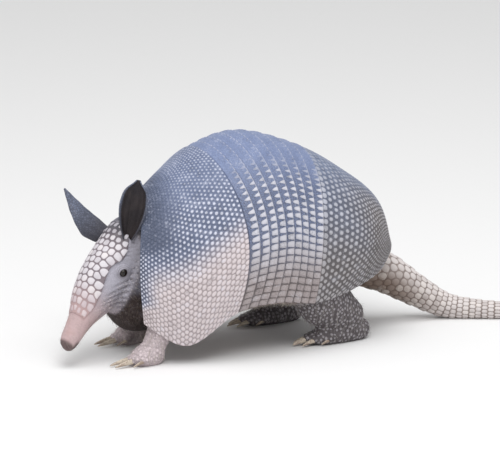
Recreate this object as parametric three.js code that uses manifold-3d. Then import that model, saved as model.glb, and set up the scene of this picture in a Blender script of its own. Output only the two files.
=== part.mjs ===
// A nine-banded armadillo, standing with its back arched and its nose to the floor.
// Millimetres, +Z up, head towards -Y, tail towards +Y, the animal's left side towards +X.
import * as THREE from "three";
import { mergeVertices } from "three/addons/utils/BufferGeometryUtils.js";
import Module from "manifold-3d";

const wasm = await Module();
wasm.setup();

// ---------------------------------------------------------------- driving dimensions

const GAP = 0.4; // between neighbours that touch in life
const MERGE = 1e-4; // vertices closer than this are one
const SAME_FACE = 0.9; // cosine between normals that count as one face when a body grows
const BLUNT = 0.4; // keeps a sharp edge's growth short
const SIMPLER = 0.3; // cut bodies lose the points that matter less than this
const PATH_STEP = 0.05; // how far along a path its direction is felt
const LIMB_CLOSE = 0.12; // share of a limb over which its ends round off
const PLATE = 3.6; // thickness of the shell plates
const CLEARANCE = 0.9; // from the plates down to the trunk

// Stations of the shell, from the nape to the tail. The dorsal line and the lower margin
// are (y, z) pairs, half is the half-width, wrap the angle in degrees from the spine down
// to the margin, and sweep bows a station's edge towards the tail halfway down. The spine
// bends a little to the right at the shoulders: yaw turns a station, in degrees. The
// belly is the height of the skin between the margins.
const SHELL = [
  { dorsal: [-110, 153], margin: [-117, 40], half: 51, wrap: 106, sweep: -7, yaw: -16, belly: 44 },
  { dorsal: [-80, 174], margin: [-83, 18], half: 68, wrap: 111, sweep: -2, yaw: -8, belly: 27 },
  { dorsal: [-46, 191], margin: [-46, 47], half: 83, wrap: 114, sweep: 10, yaw: 0, belly: 35 },
  { dorsal: [2, 202], margin: [-3, 52], half: 86, wrap: 114, sweep: 7, yaw: 0, belly: 42 },
  { dorsal: [62, 183], margin: [38, 46.5], half: 80, wrap: 110, sweep: -3, yaw: 0, belly: 38 },
  { dorsal: [104, 158.5], margin: [72, 51], half: 75.5, wrap: 108, sweep: 10, yaw: 0, belly: 42 },
  { dorsal: [139, 130], margin: [114, 63], half: 63, wrap: 104, sweep: -2, yaw: 0, belly: 54 },
  { dorsal: [151, 93], margin: [140, 77.5], half: 42.5, wrap: 95, sweep: -1, yaw: 0, belly: 66 },
];
const FIRST_BAND = 2; // station numbers of the shields' edges
const RUMP = 4;
const REAR = 7;
const BANDS = 9;
const BAND_LIP = 1.1; // how far a band's rear edge stands over the next band
const PLATE_COLUMNS = 16;
const SHOULDER_ROWS = 7;
const RUMP_ROWS = 10;

const TRUNK_ROWS = 16;
const TRUNK_SIDES = 18;
const TOP_SHARE = 0.7; // share of a trunk section that lies under the shell

// Head, in its own frame: forward is -Y, up is +Z, and the poll between the ears is 0.
// Each station is a distance ahead of the poll, with the crown, the jaw and the half-width.
const POLL = [4, -135, 126.5];
const HEAD_YAW = 11.8;
const HEAD_PITCH = 45.2;
const HEAD = [
  { ahead: -18, crown: -9, jaw: -36, half: 20 },
  { ahead: 0, crown: -0.5, jaw: -46, half: 23.5 },
  { ahead: 18, crown: 0.3, jaw: -53, half: 24.5 },
  { ahead: 36, crown: 0.8, jaw: -55, half: 23 },
  { ahead: 54, crown: -0.2, jaw: -52, half: 19.5 },
  { ahead: 72, crown: -4.8, jaw: -46, half: 15 },
  { ahead: 88, crown: -12, jaw: -41, half: 11.8 },
  { ahead: 103, crown: -17.5, jaw: -39.5, half: 10.4 },
  { ahead: 119.5, crown: -21.5, jaw: -40, half: 9.4 },
];
const JAW_NARROWING = 0.4; // how much narrower a section is at the jaw than at the crown
const JAW_POINT = 1.5; // power by which that narrowing gathers towards the jaw
const HEAD_ROWS = 16;
const HEAD_SIDES = 16;
const EYE_RADIUS = 4.4;
const EYE_PLACE = [20.9, -35.6, -20.3];
const EYE_SIDES = 8;
const EYE_ROWS = 6;
const SHIELD_THICK = 1.5;
const SHIELD_OVER = 0.7; // from the skin up to the underside of the head shield
const SHIELD_COLUMNS = 8;
const SHIELD_ROWS = 10;
// Degrees from the crown to the head shield's edge, evenly spaced from the poll to the
// snout: it widens over the brow, draws in above the eye and covers the muzzle's sides.
const SHIELD_SPANS = [34, 50, 57, 48, 56, 68, 74, 66];
const SHIELD_FROM = -2; // distances ahead of the poll
const SHIELD_TO = 92;

// Each ear has its root, the way it points, the way its opening faces, its length, the
// widths of its leaf from root to tip, laid flat, and how far it bows to its side. The
// left one stands up and the right one is laid out to its side.
const EAR = { thick: 1.5, curlBase: 120, curlTip: 38 };
const EAR_TIP = 4.5; // least width, at the very tip
const EAR_COLUMNS = 6;
const EAR_ROWS = 7;
const EARS = {
  left: {
    root: [19, -131, 116.5],
    axis: [0.1, 0.14, 0.97],
    facing: [0.8, -0.6, 0.05],
    length: 57,
    widths: [16, 23, 28, 30.5, 29, 22.5, 4],
    bow: 0,
  },
  right: {
    root: [-6.6, -134.3, 114.9],
    axis: [-0.5, -0.54, 0.7],
    facing: [-0.88, -0.1, -0.35],
    length: 63,
    widths: [27, 31.5, 32, 25, 17.5, 9.2, 1.2],
    bow: -4.8,
  },
};

const NECK = [
  { at: [0, -80, 84], half: [46, 57] },
  { at: [0, -105, 80], half: [44, 56] },
  { at: [1, -122, 76], half: [36, 53] },
  { at: [3, -140, 78], half: [22, 30] },
];
const NECK_ROWS = 7;
const NECK_SIDES = 12;

// Tail path as (x, y, z) with the radius there. It leaves under the rump shield, comes
// down to the floor and lies on it in an easy bend.
const TAIL = [
  { at: [0, 122, 64], radius: 21.5 },
  { at: [2, 158, 49], radius: 19 },
  { at: [6, 190, 29], radius: 15 },
  { at: [16, 218, 12.8], radius: 11.6 },
  { at: [31, 242, 9], radius: 9.2 },
  { at: [46, 266, 7.8], radius: 8 },
  { at: [56, 294, 6.6], radius: 6.8 },
  { at: [58, 324, 5.4], radius: 5.6 },
  { at: [50, 354, 4], radius: 4.2 },
  { at: [38, 382, 2.4], radius: 2.4 },
];
const TAIL_RINGS = 12;
const TAIL_RINGED = 0.57; // share of the path that carries rings
const TAIL_SIDES = 10;
const TAIL_TIP_ROWS = 8;
const TAIL_TIP_POINT = 6; // power by which the very end rounds off: higher is blunter
const RING_LIP = 0.9;
const COVERED_RINGS = 4; // rings near enough to the rump to be cut clear of it

// Legs as chains of (x, y, z) and half-widths, from inside the trunk down to the foot.
const FRONT_LEG = [
  { at: [38, -88, 70], half: [17, 22] },
  { at: [41, -100, 48], half: [14, 17] },
  { at: [42, -112, 27], half: [10.5, 12.5] },
  { at: [42, -119, 13], half: [10, 11] },
];
// A foot runs forward from its heel. Each toe stands at its side of the foot, -1 to 1,
// reaches ahead of the foot, and carries a claw. The right feet are out of step.
const FRONT_FOOT = { heel: [42, -107], length: 32, half: [10, 13], height: 28 };
const FRONT_STEP = { left: 0, right: 28 };
const FRONT_TOES = [
  { side: -0.95, reach: -3, radius: 3.4, claw: 9, thick: 2 },
  { side: -0.34, reach: 5, radius: 4.3, claw: 18, thick: 3 },
  { side: 0.34, reach: 5, radius: 4.3, claw: 17, thick: 3 },
  { side: 0.98, reach: -2, radius: 3.4, claw: 9, thick: 2 },
];
const HIND_LEG = [
  { at: [46, 62, 76], half: [22, 30] },
  { at: [52, 58, 46], half: [19, 27] },
  { at: [52, 80, 30], half: [14, 20] },
  { at: [50, 100, 18], half: [11.5, 13] },
];
const HIND_FOOT = { heel: [50, 112], length: 66, half: [11, 14.5], height: 24 };
const HIND_STEP = { left: 0, right: -14 };
const HIND_TOES = [
  { side: -1, reach: -13, radius: 3.4, claw: 7, thick: 2 },
  { side: -0.6, reach: 1, radius: 4, claw: 11, thick: 2.6 },
  { side: 0, reach: 5, radius: 4.6, claw: 13, thick: 3 },
  { side: 0.6, reach: 1, radius: 4, claw: 11, thick: 2.6 },
  { side: 1, reach: -13, radius: 3.4, claw: 7, thick: 2 },
];
const TOE_HEIGHT = 4.6; // middle of a toe's tip above the floor
const TOE_ROOT = 12; // how far back under the foot a toe starts
const TOE_RISE = 2; // how much higher its root is than its tip
const TOE_END = 0.58; // height of the foot at its toes, as a share
const TOE_SPREAD = 1.15; // how much wider the toes stand at their tips than at their roots

const COLOURS = {
  shell: [0x5b6068, 0.6],
  band: [0x535860, 0.6],
  cream: [0xc9b7a6, 0.65],
  skin: [0x8a7068, 0.75],
  belly: [0xa38d80, 0.8],
  ear: [0x4b464b, 0.7],
  eye: [0x0c0a09, 0.15],
  tail: [0xb8a392, 0.65],
  leg: [0x6b605e, 0.8],
  foot: [0xc4aea6, 0.75],
  claw: [0xa89a86, 0.45],
};

// ---------------------------------------------------------------- making and cutting

const radians = THREE.MathUtils.degToRad;
const { lerp, clamp } = THREE.MathUtils;

// Catmull-Rom value through evenly spaced values.
function through(values, at) {
  const last = values.length - 1;
  const i = clamp(Math.floor(at), 0, last - 1);
  const w = at - i;
  const [a, b, c, d] = [-1, 0, 1, 2].map((step) => values[clamp(i + step, 0, last)]);
  const slopeB = (c - a) / 2;
  const slopeC = (d - b) / 2;
  const cubic = 2 * b - 2 * c + slopeB + slopeC;
  const square = -3 * b + 3 * c - 2 * slopeB - slopeC;
  return ((cubic * w + square) * w + slopeB) * w + b;
}

function vectorThrough(points, at) {
  return new THREE.Vector3(...[0, 1, 2].map((axis) => through(points.map((p) => p[axis]), at)));
}

// Every body starts as a closed three.js geometry whose vertices are moved to their place.
function shaped(geometry, place) {
  const { position, uv } = geometry.attributes;
  for (let i = 0; i < position.count; i += 1) {
    const from = new THREE.Vector3().fromBufferAttribute(position, i);
    const to = place(from, uv.getX(i), uv.getY(i));
    position.setXYZ(i, to.x, to.y, to.z);
  }
  geometry.deleteAttribute("normal");
  geometry.deleteAttribute("uv");
  return solid(mergeVertices(geometry, MERGE));
}

// A merged geometry as a manifold solid, turned right side out and free of thin triangles.
function solid(geometry) {
  const points = geometry.attributes.position.array;
  const corner = (i) => new THREE.Vector3().fromArray(points, 3 * i);
  const triangles = [];
  let volume = 0;
  const index = geometry.index.array;
  for (let i = 0; i < index.length; i += 3) {
    const [a, b, c] = index.slice(i, i + 3);
    if (a === b || b === c || c === a) continue;
    triangles.push([a, b, c]);
    volume += corner(a).dot(corner(b).cross(corner(c)));
  }
  const ordered = triangles.map(([a, b, c]) => (volume > 0 ? [a, b, c] : [a, c, b]));
  return new wasm.Manifold(
    new wasm.Mesh({
      numProp: 3,
      vertProperties: new Float32Array(points),
      triVerts: new Uint32Array(ordered.flat()),
    }),
  );
}

function geometryOf(body) {
  const mesh = body.getMesh();
  const geometry = new THREE.BufferGeometry();
  const position = new THREE.BufferAttribute(new Float32Array(mesh.vertProperties), 3);
  geometry.setAttribute("position", position);
  geometry.setIndex(new THREE.BufferAttribute(new Uint32Array(mesh.triVerts), 1));
  return geometry;
}

// A copy of a body, grown outwards by the gap, to cut its neighbours with. Each corner
// moves so that every face that meets there moves out by the gap.
function swollen(body) {
  const geometry = geometryOf(body);
  const { position } = geometry.attributes;
  const index = geometry.index.array;
  const facing = Array.from({ length: position.count }, () => []);
  const corner = (i) => new THREE.Vector3().fromBufferAttribute(position, i);
  for (let i = 0; i < index.length; i += 3) {
    const triangle = [...index.slice(i, i + 3)];
    const normal = new THREE.Triangle(...triangle.map(corner)).getNormal(new THREE.Vector3());
    for (const point of triangle) {
      if (facing[point].every((known) => known.dot(normal) < SAME_FACE)) facing[point].push(normal);
    }
  }
  facing.forEach((normals, i) => {
    const out = normals.reduce((sum, normal) => sum.add(normal), new THREE.Vector3());
    const least = Math.min(...normals.map((normal) => normal.dot(out)));
    const at = corner(i).addScaledVector(out, GAP / Math.max(least, BLUNT));
    position.setXYZ(i, at.x, at.y, at.z);
  });
  return solid(geometry);
}

// What is left of a body once its neighbours are cut away: its largest piece.
function cutBy(body, neighbours) {
  const left = neighbours.reduce((rest, other) => rest.subtract(swollen(other)), body);
  const pieces = left.simplify(SIMPLER).decompose();
  return pieces.sort((a, b) => b.volume() - a.volume())[0];
}

// A round-ended skin: share runs from one end to the other, angle runs round it.
function skin(rows, sides, place) {
  const sphere = new THREE.SphereGeometry(1, sides, rows);
  return shaped(sphere, (_, u, v) => place(1 - v, 2 * Math.PI * (u % 1)));
}

// A curved slab: across and along run from 0 to 1, depth is 0 outside and 1 inside.
function slab(columns, rows, place) {
  const box = new THREE.BoxGeometry(1, 1, 1, columns, rows, 1);
  return shaped(box, (from) => place(from.x + 0.5, from.y + 0.5, 0.5 - from.z));
}

// Which way a path of points runs at a place along it.
function directionAt(path, at) {
  const ahead = vectorThrough(path, Math.min(at + PATH_STEP, path.length - 1));
  return ahead.sub(vectorThrough(path, Math.max(at - PATH_STEP, 0))).normalize();
}

// How large a section is near a body's ends: each end rounds off over a share of it.
function roundEnd(share, closeBy) {
  const end = Math.min(share, 1 - share) / closeBy;
  return end < 1 ? Math.sqrt(1 - (1 - end) ** 2) : 1;
}

// A chain of ellipses along a path, closed by round ends. Half-widths are across and deep.
function limb(links, rows, sides, closeBy) {
  const path = links.map((link) => link.at);
  return skin(rows, sides, (share, angle) => {
    const at = share * (path.length - 1);
    const centre = vectorThrough(path, at);
    const direction = directionAt(path, at);
    const across = new THREE.Vector3(1, 0, 0).addScaledVector(direction, -direction.x).normalize();
    const deep = new THREE.Vector3().crossVectors(direction, across);
    const size = roundEnd(share, closeBy);
    const halfAcross = through(links.map((link) => link.half[0]), at) * size;
    const halfDeep = through(links.map((link) => link.half[1]), at) * size;
    return centre
      .addScaledVector(across, halfAcross * Math.cos(angle))
      .addScaledVector(deep, halfDeep * Math.sin(angle));
  });
}

const WORLD = 2000; // larger than the whole model
const aboveFloor = shaped(new THREE.BoxGeometry(WORLD, WORLD, WORLD), (from) =>
  from.add(new THREE.Vector3(0, 0, WORLD / 2)),
);

// ---------------------------------------------------------------- shell and trunk

const NORMAL_STEP = 0.02; // how far apart the points are that give the shell's normal

// A point of the shell: station number and -1 to 1 across.
function shellSurface(at, across) {
  const value = (pick) => through(SHELL.map(pick), at);
  const wrap = radians(value((s) => s.wrap));
  const turn = across * wrap;
  const drop = (1 - Math.cos(turn)) / (1 - Math.cos(wrap));
  const yaw = radians(value((s) => s.yaw));
  const back = value((s) => s.sweep) * Math.sin(Math.PI * drop);
  const x = value((s) => s.half) * Math.sin(turn);
  const y = lerp(value((s) => s.dorsal[0]), value((s) => s.margin[0]), drop) + back;
  const z = lerp(value((s) => s.dorsal[1]), value((s) => s.margin[1]), drop);
  return new THREE.Vector3(x * Math.cos(yaw), y + x * Math.sin(yaw), z);
}

// The same point at a depth below the surface.
function shellPoint(at, across, depth) {
  const along = shellSurface(Math.min(at + NORMAL_STEP, REAR), across);
  along.sub(shellSurface(Math.max(at - NORMAL_STEP, 0), across));
  const over = shellSurface(at, Math.min(across + NORMAL_STEP, 1));
  over.sub(shellSurface(at, Math.max(across - NORMAL_STEP, -1)));
  const inward = along.cross(over).normalize();
  return shellSurface(at, across).addScaledVector(inward, depth);
}

// A plate between two stations. Its rear edge may lie over the next plate as a lip.
function plate(from, to, rows, lip) {
  return slab(PLATE_COLUMNS, rows, (across, along, depth) => {
    const at = lerp(from, to, along);
    const height = lip * along ** 2;
    return shellPoint(at, 2 * across - 1, depth * PLATE - height);
  });
}

const SEAM = 0.04; // share of a band's length left open between plates
const bandStep = (RUMP - FIRST_BAND) / BANDS;
const seam = SEAM * bandStep;
const shoulderShield = plate(0, FIRST_BAND - seam, SHOULDER_ROWS, BAND_LIP);
const bands = Array.from({ length: BANDS }, (_, i) => {
  const from = FIRST_BAND + i * bandStep;
  return plate(from, from + bandStep - seam, 1, BAND_LIP);
});
const rumpShield = plate(RUMP, REAR, RUMP_ROWS, 0);

// A closed section of the trunk: under the shell above, and the belly below.
function trunkSection(at, angle) {
  const turn = angle / (2 * Math.PI);
  const depth = PLATE + CLEARANCE;
  if (turn < TOP_SHARE) return shellPoint(at, (2 * turn) / TOP_SHARE - 1, depth);
  const under = (turn - TOP_SHARE) / (1 - TOP_SHARE);
  const margin = shellPoint(at, 1, depth);
  const other = shellPoint(at, -1, depth);
  const across = (1 - Math.cos(Math.PI * under)) / 2;
  const belly = through(SHELL.map((station) => station.belly), at);
  const point = margin.clone().lerp(other, across);
  return point.setZ(lerp(margin.z, belly, Math.sin(Math.PI * under)));
}

const TRUNK_FROM = 0.75; // station numbers where the trunk's ends close
const TRUNK_TO = 6.85;
const TRUNK_ROUND = 0.12; // share of its length over which each end rounds off
const trunk = skin(TRUNK_ROWS, TRUNK_SIDES, (share, angle) => {
  const at = lerp(TRUNK_FROM, TRUNK_TO, share);
  const centre = shellSurface(at, 0).add(shellSurface(at, 1)).multiplyScalar(0.5).setX(0);
  const out = trunkSection(at, angle).sub(centre);
  return out.multiplyScalar(roundEnd(share, TRUNK_ROUND)).add(centre);
});

// ---------------------------------------------------------------- head

const headGroup = new THREE.Group();
headGroup.position.set(...POLL);
headGroup.rotation.set(radians(HEAD_PITCH), 0, radians(HEAD_YAW), "ZXY");
headGroup.updateMatrixWorld(true);

function headValue(at, key) {
  return through(HEAD.map((station) => station[key]), at);
}

// The head's surface: station number, the angle from the crown, and height above it.
function headSurface(at, angle, height) {
  const crown = headValue(at, "crown");
  const jaw = headValue(at, "jaw");
  const half = headValue(at, "half");
  const middle = (crown + jaw) / 2;
  const deep = (crown - jaw) / 2;
  const narrow = 1 - JAW_NARROWING * Math.max(-Math.cos(angle), 0) ** JAW_POINT;
  const x = (half + height) * Math.sin(angle) * narrow;
  const z = middle + (deep + height) * Math.cos(angle);
  return new THREE.Vector3(x, -headValue(at, "ahead"), z);
}

const HEAD_LAST = HEAD.length - 1;
const HALVINGS = 30;
const HEAD_ROUND = 0.08; // share of the head over which its ends round off
const NOSE_PUSH = 4; // how far the nose pad stands ahead of the last station
const wholeHead = skin(HEAD_ROWS, HEAD_SIDES, (share, angle) => {
  const at = share * HEAD_LAST;
  const centre = headSurface(at, 0, 0).add(headSurface(at, Math.PI, 0)).multiplyScalar(0.5);
  const out = headSurface(at, angle, 0).sub(centre);
  const point = out.multiplyScalar(roundEnd(share, HEAD_ROUND)).add(centre);
  point.y -= NOSE_PUSH * Math.max(1 - (1 - share) / HEAD_ROUND, 0);
  return point.applyMatrix4(headGroup.matrixWorld);
});

// Station number of the head at a distance ahead of the poll.
function headStation(ahead) {
  let low = 0;
  let high = HEAD_LAST;
  for (let i = 0; i < HALVINGS; i += 1) {
    const middle = (low + high) / 2;
    if (headValue(middle, "ahead") < ahead) low = middle;
    else high = middle;
  }
  return low;
}

const shieldFrom = headStation(SHIELD_FROM);
const shieldTo = headStation(SHIELD_TO);
const headShield = slab(SHIELD_COLUMNS, SHIELD_ROWS, (across, along, depth) => {
  const span = through(SHIELD_SPANS, along * (SHIELD_SPANS.length - 1));
  const angle = radians(span) * (2 * across - 1);
  const at = lerp(shieldFrom, shieldTo, along);
  const point = headSurface(at, angle, SHIELD_OVER + SHIELD_THICK * (1 - depth));
  return point.applyMatrix4(headGroup.matrixWorld);
});

function eye(side) {
  const centre = new THREE.Vector3(side * EYE_PLACE[0], EYE_PLACE[1], EYE_PLACE[2]);
  return shaped(new THREE.SphereGeometry(EYE_RADIUS, EYE_SIDES, EYE_ROWS), (from) =>
    from.add(centre).applyMatrix4(headGroup.matrixWorld),
  );
}

const eyes = { left: eye(1), right: eye(-1) };

// An ear is a leaf, rolled into a tube at its root and opening towards its tip.
function ear({ root, axis, facing, length, widths, bow }) {
  const long = new THREE.Vector3(...axis).normalize();
  const open = new THREE.Vector3(...facing);
  open.addScaledVector(long, -open.dot(long)).normalize();
  const wide = new THREE.Vector3().crossVectors(open, long);
  const frame = new THREE.Matrix4().makeBasis(wide, open, long).setPosition(...root);
  return slab(EAR_COLUMNS, EAR_ROWS, (across, along, depth) => {
    const curl = radians(lerp(EAR.curlBase, EAR.curlTip, Math.sqrt(along)));
    const width = Math.max(through(widths, along * (widths.length - 1)), EAR_TIP);
    const radius = width / (2 * curl);
    const angle = curl * (2 * across - 1);
    const reach = radius - EAR.thick * (depth - 0.5);
    const x = reach * Math.sin(angle) + bow * Math.sin(Math.PI * along);
    const y = radius - reach * Math.cos(angle);
    return new THREE.Vector3(x, y, length * along).applyMatrix4(frame);
  });
}

const ears = { left: ear(EARS.left), right: ear(EARS.right) };

const wholeNeck = limb(NECK, NECK_ROWS, NECK_SIDES, LIMB_CLOSE);

// ---------------------------------------------------------------- tail

const tailPath = TAIL.map((point) => point.at);

// A point of the tail: share of the path, the angle round it and a height over it.
// It is flattened where it lies on the floor.
function tailPoint(share, angle, height, size = 1) {
  const at = share * (TAIL.length - 1);
  const centre = vectorThrough(tailPath, at);
  const direction = directionAt(tailPath, at);
  const across = new THREE.Vector3(direction.y, -direction.x, 0).normalize();
  const up = new THREE.Vector3().crossVectors(across, direction);
  const radius = (through(TAIL.map((point) => point.radius), at) + height) * size;
  centre.addScaledVector(across, radius * Math.cos(angle));
  centre.addScaledVector(up, radius * Math.sin(angle));
  return centre.setZ(Math.max(centre.z, 0));
}

const ringStep = TAIL_RINGED / TAIL_RINGS;
const RING_SEAM = 0.03; // share of a ring's length left open before the next
const rings = Array.from({ length: TAIL_RINGS }, (_, i) => {
  const from = i * ringStep;
  const to = (i + 1 - RING_SEAM) * ringStep;
  const barrel = new THREE.CylinderGeometry(1, 1, 1, TAIL_SIDES, 1);
  return shaped(barrel, (point) => {
    const along = point.y + 0.5;
    const radial = Math.hypot(point.x, point.z);
    const angle = Math.atan2(point.z, point.x);
    return tailPoint(lerp(from, to, along), angle, RING_LIP * along, radial);
  });
});

// The first row of the tip closes its flat end against the last ring.
const tailTip = skin(TAIL_TIP_ROWS, TAIL_SIDES, (share, angle) => {
  const reach = Math.max((share * TAIL_TIP_ROWS - 1) / (TAIL_TIP_ROWS - 1), 0);
  const pointed = share === 0 ? 0 : Math.sqrt(1 - reach ** TAIL_TIP_POINT);
  return tailPoint(lerp(TAIL_RINGED, 1, reach), angle, 0, pointed);
});

// ---------------------------------------------------------------- legs

const SOLE_ROWS = 8;
const SOLE_SIDES = 10;
const SOLE_BLUNT = 0.55; // power by which a foot's outline rounds: lower is blunter
const SOLE_SINK = 0.42; // height of a foot's middle, as a share of its height
const TOE_BASE = 0.72; // how far out the toes start, as a share of the foot's half-width
const TOE_ROWS = 4;
const TOE_SIDES = 5;
const TOE_CLOSE = 0.3;
const LEG_ROWS = 7;
const LEG_SIDES = 12;

// A point of a toe: back is the distance behind its tip, and spread widens the row.
function toePoint(shape, toe, side, step, back, spread, height) {
  const [x, y] = shape.heel;
  const across = side * (x + toe.side * shape.half[1] * TOE_BASE * spread);
  return [across, y + step - shape.length - toe.reach + back, height];
}

// A foot is a round-ended wedge, long in Y, with its toes, cut flat at the floor.
function foot(shape, toes, side, step) {
  const [x, y] = shape.heel;
  const sole = skin(SOLE_ROWS, SOLE_SIDES, (share, angle) => {
    const along = (1 - Math.cos(Math.PI * share)) / 2;
    const half = lerp(shape.half[0], shape.half[1], Math.sin((Math.PI / 2) * along));
    const round = Math.sin(Math.PI * share) ** SOLE_BLUNT;
    const height = shape.height * lerp(1, TOE_END, along);
    return new THREE.Vector3(
      side * (x + half * round * Math.cos(angle)),
      y + step - shape.length * along,
      height * (SOLE_SINK + (1 - SOLE_SINK) * round * Math.sin(angle)),
    );
  });
  const whole = toes.reduce((body, toe) => {
    const half = [toe.radius, toe.radius];
    const root = toePoint(shape, toe, side, step, TOE_ROOT, 1, TOE_HEIGHT + TOE_RISE);
    const tip = toePoint(shape, toe, side, step, 0, TOE_SPREAD, TOE_HEIGHT);
    const links = [{ at: root, half }, { at: tip, half }];
    return body.add(limb(links, TOE_ROWS, TOE_SIDES, TOE_CLOSE));
  }, sole);
  return whole.intersect(aboveFloor);
}

function upperLeg(chain, side, step) {
  const links = chain.map(({ at: [x, y, z], half }, i) => {
    const share = i / (chain.length - 1);
    return { at: [side * x, y + step * share, z], half };
  });
  return limb(links, LEG_ROWS, LEG_SIDES, LIMB_CLOSE).intersect(aboveFloor);
}

// A claw goes on from its toe, curves down and thins to a tip just over the floor.
const CLAW_ROOT = 4; // how far back inside the toe it starts
const CLAW_FLAT = 0.8; // its width as a share of its depth
const CLAW_FLARE = 0.1; // how far the outer claws turn out, as a share of their length
const CLAW_HOOK = 1.6; // power by which it curves down: higher bends nearer the tip
const CLAW_RISE = 0.8; // height of its root above the toe's middle
const CLAW_LIFT = 0.02;
const CLAW_ROWS = 4;
const CLAW_SIDES = 5;
function claw(shape, toe, side, step) {
  const root = toePoint(shape, toe, side, step, CLAW_ROOT, TOE_SPREAD, TOE_HEIGHT);
  const reach = toe.claw + CLAW_ROOT;
  return skin(CLAW_ROWS, CLAW_SIDES, (share, angle) => {
    const thick = share === 0 ? 0 : toe.thick * Math.sqrt(1 - share);
    const x = root[0] + side * toe.side * reach * CLAW_FLARE * share;
    const fall = (TOE_HEIGHT - 1) * share ** CLAW_HOOK;
    const z = root[2] + CLAW_RISE - fall + thick * Math.sin(angle);
    return new THREE.Vector3(
      x + thick * CLAW_FLAT * Math.cos(angle),
      root[1] - reach * share,
      Math.max(z, CLAW_LIFT),
    );
  });
}

// ---------------------------------------------------------------- assembly

const model = new THREE.Group();
const bodyGroup = new THREE.Group();
model.add(bodyGroup, headGroup);

// A body made in world coordinates becomes a named mesh inside its own group.
function add(group, name, body, finish) {
  const [color, roughness] = COLOURS[finish];
  const geometry = geometryOf(body);
  group.updateMatrixWorld(true);
  geometry.applyMatrix4(group.matrixWorld.clone().invert());
  geometry.computeVertexNormals();
  const material = new THREE.MeshStandardMaterial({ color, roughness, metalness: 0 });
  const mesh = new THREE.Mesh(geometry, material);
  mesh.name = name;
  group.add(mesh);
}

const head = cutBy(wholeHead, [eyes.left, eyes.right]);
const neck = cutBy(wholeNeck, [trunk, wholeHead, headShield, shoulderShield]);

add(headGroup, "head", head, "skin");
add(headGroup, "head_shield", headShield, "cream");
for (const side of ["left", "right"]) {
  add(headGroup, `eye_${side}`, eyes[side], "eye");
  const rootedEar = cutBy(ears[side], [wholeHead, headShield, wholeNeck, shoulderShield]);
  add(headGroup, `ear_${side}`, rootedEar, "ear");
}
add(bodyGroup, "neck", neck, "belly");
add(bodyGroup, "trunk", trunk, "belly");
add(bodyGroup, "shoulder_shield", shoulderShield, "shell");
bands.forEach((band, i) => add(bodyGroup, `band_${i + 1}`, band, "band"));
add(bodyGroup, "rump_shield", rumpShield, "shell");

rings.forEach((ring, i) => {
  const body = i < COVERED_RINGS ? cutBy(ring, [trunk, rumpShield]) : ring;
  add(bodyGroup, `tail_ring_${String(i + 1).padStart(2, "0")}`, body, "tail");
});
add(bodyGroup, "tail_tip", tailTip, "tail");

const LEGS = [
  { name: "front", chain: FRONT_LEG, foot: FRONT_FOOT, step: FRONT_STEP, toes: FRONT_TOES },
  { name: "hind", chain: HIND_LEG, foot: HIND_FOOT, step: HIND_STEP, toes: HIND_TOES },
];
const hindPlates = [...bands.slice(-4), rumpShield];
for (const leg of LEGS) {
  for (const [word, side] of [["left", 1], ["right", -1]]) {
    const step = leg.step[word];
    const above = leg.name === "front" ? [shoulderShield, wholeNeck] : hindPlates;
    const sole = cutBy(foot(leg.foot, leg.toes, side, step), [trunk, ...above]);
    const upper = upperLeg(leg.chain, side, step);
    add(bodyGroup, `${leg.name}_leg_${word}`, cutBy(upper, [trunk, sole, ...above]), "leg");
    add(bodyGroup, `${leg.name}_foot_${word}`, sole, leg.name === "front" ? "foot" : "leg");
    leg.toes.forEach((toe, i) => {
      const nail = cutBy(claw(leg.foot, toe, side, step), [sole]);
      add(bodyGroup, `${leg.name}_claw_${word}_${i + 1}`, nail, "claw");
    });
  }
}

// The origin is the bottom centre of the whole box.
model.updateMatrixWorld(true);
const box = new THREE.Box3().setFromObject(model, true);
const centre = box.getCenter(new THREE.Vector3());
model.position.set(-centre.x, -centre.y, -box.min.z);
model.updateMatrixWorld(true);

export default model;
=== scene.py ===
# %% [markdown]
# # A nine-banded armadillo, life size
#
# The frame is the measured model of the animal: one solid for each shell plate, claw, eye
# and piece of flesh. It gives every place and size here. This lesson puts the real surface
# over it: the shell's bony scutes, wrinkled skin, horny claws and a few hairs. Lengths are
# in millimetres until a mesh is made, because an animal this size is easiest to think of
# in them, and the mesh is then written in metres, as everything in the frame is.

# %% Load the frame
import math

import bmesh
import bpy
import numpy as np
from mathutils import Euler, Matrix, Vector
from mathutils.kdtree import KDTree


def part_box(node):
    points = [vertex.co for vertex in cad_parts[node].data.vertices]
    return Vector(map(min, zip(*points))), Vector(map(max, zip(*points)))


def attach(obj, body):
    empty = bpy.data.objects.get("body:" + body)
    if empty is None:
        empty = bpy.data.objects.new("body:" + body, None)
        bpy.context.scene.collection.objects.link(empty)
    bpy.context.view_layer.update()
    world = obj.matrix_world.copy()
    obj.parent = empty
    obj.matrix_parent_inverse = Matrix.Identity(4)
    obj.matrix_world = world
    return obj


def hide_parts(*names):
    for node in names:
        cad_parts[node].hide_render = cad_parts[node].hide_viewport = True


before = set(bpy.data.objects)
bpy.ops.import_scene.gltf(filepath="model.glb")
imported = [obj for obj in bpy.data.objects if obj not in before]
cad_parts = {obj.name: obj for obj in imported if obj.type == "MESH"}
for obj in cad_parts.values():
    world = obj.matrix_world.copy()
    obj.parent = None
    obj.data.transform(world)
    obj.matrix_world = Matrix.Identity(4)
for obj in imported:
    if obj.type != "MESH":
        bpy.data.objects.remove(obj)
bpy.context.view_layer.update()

MM = 0.001
TAIL_END = 382.0  # millimetres from the shell's own zero to the end of the tail
SHIFT = np.array((0.0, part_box("tail_tip")[1].y - TAIL_END * MM, 0.0))
chance = np.random.default_rng(9)
print("the frame holds", len(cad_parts), "solids, moved", SHIFT.round(5))


def to_frame(points):
    """Places in millimetres as metres in the frame."""
    return np.asarray(points, float) * MM + SHIFT


def to_mm(points):
    """Places in the frame as millimetres."""
    return (np.array(points) - SHIFT) / MM


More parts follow.
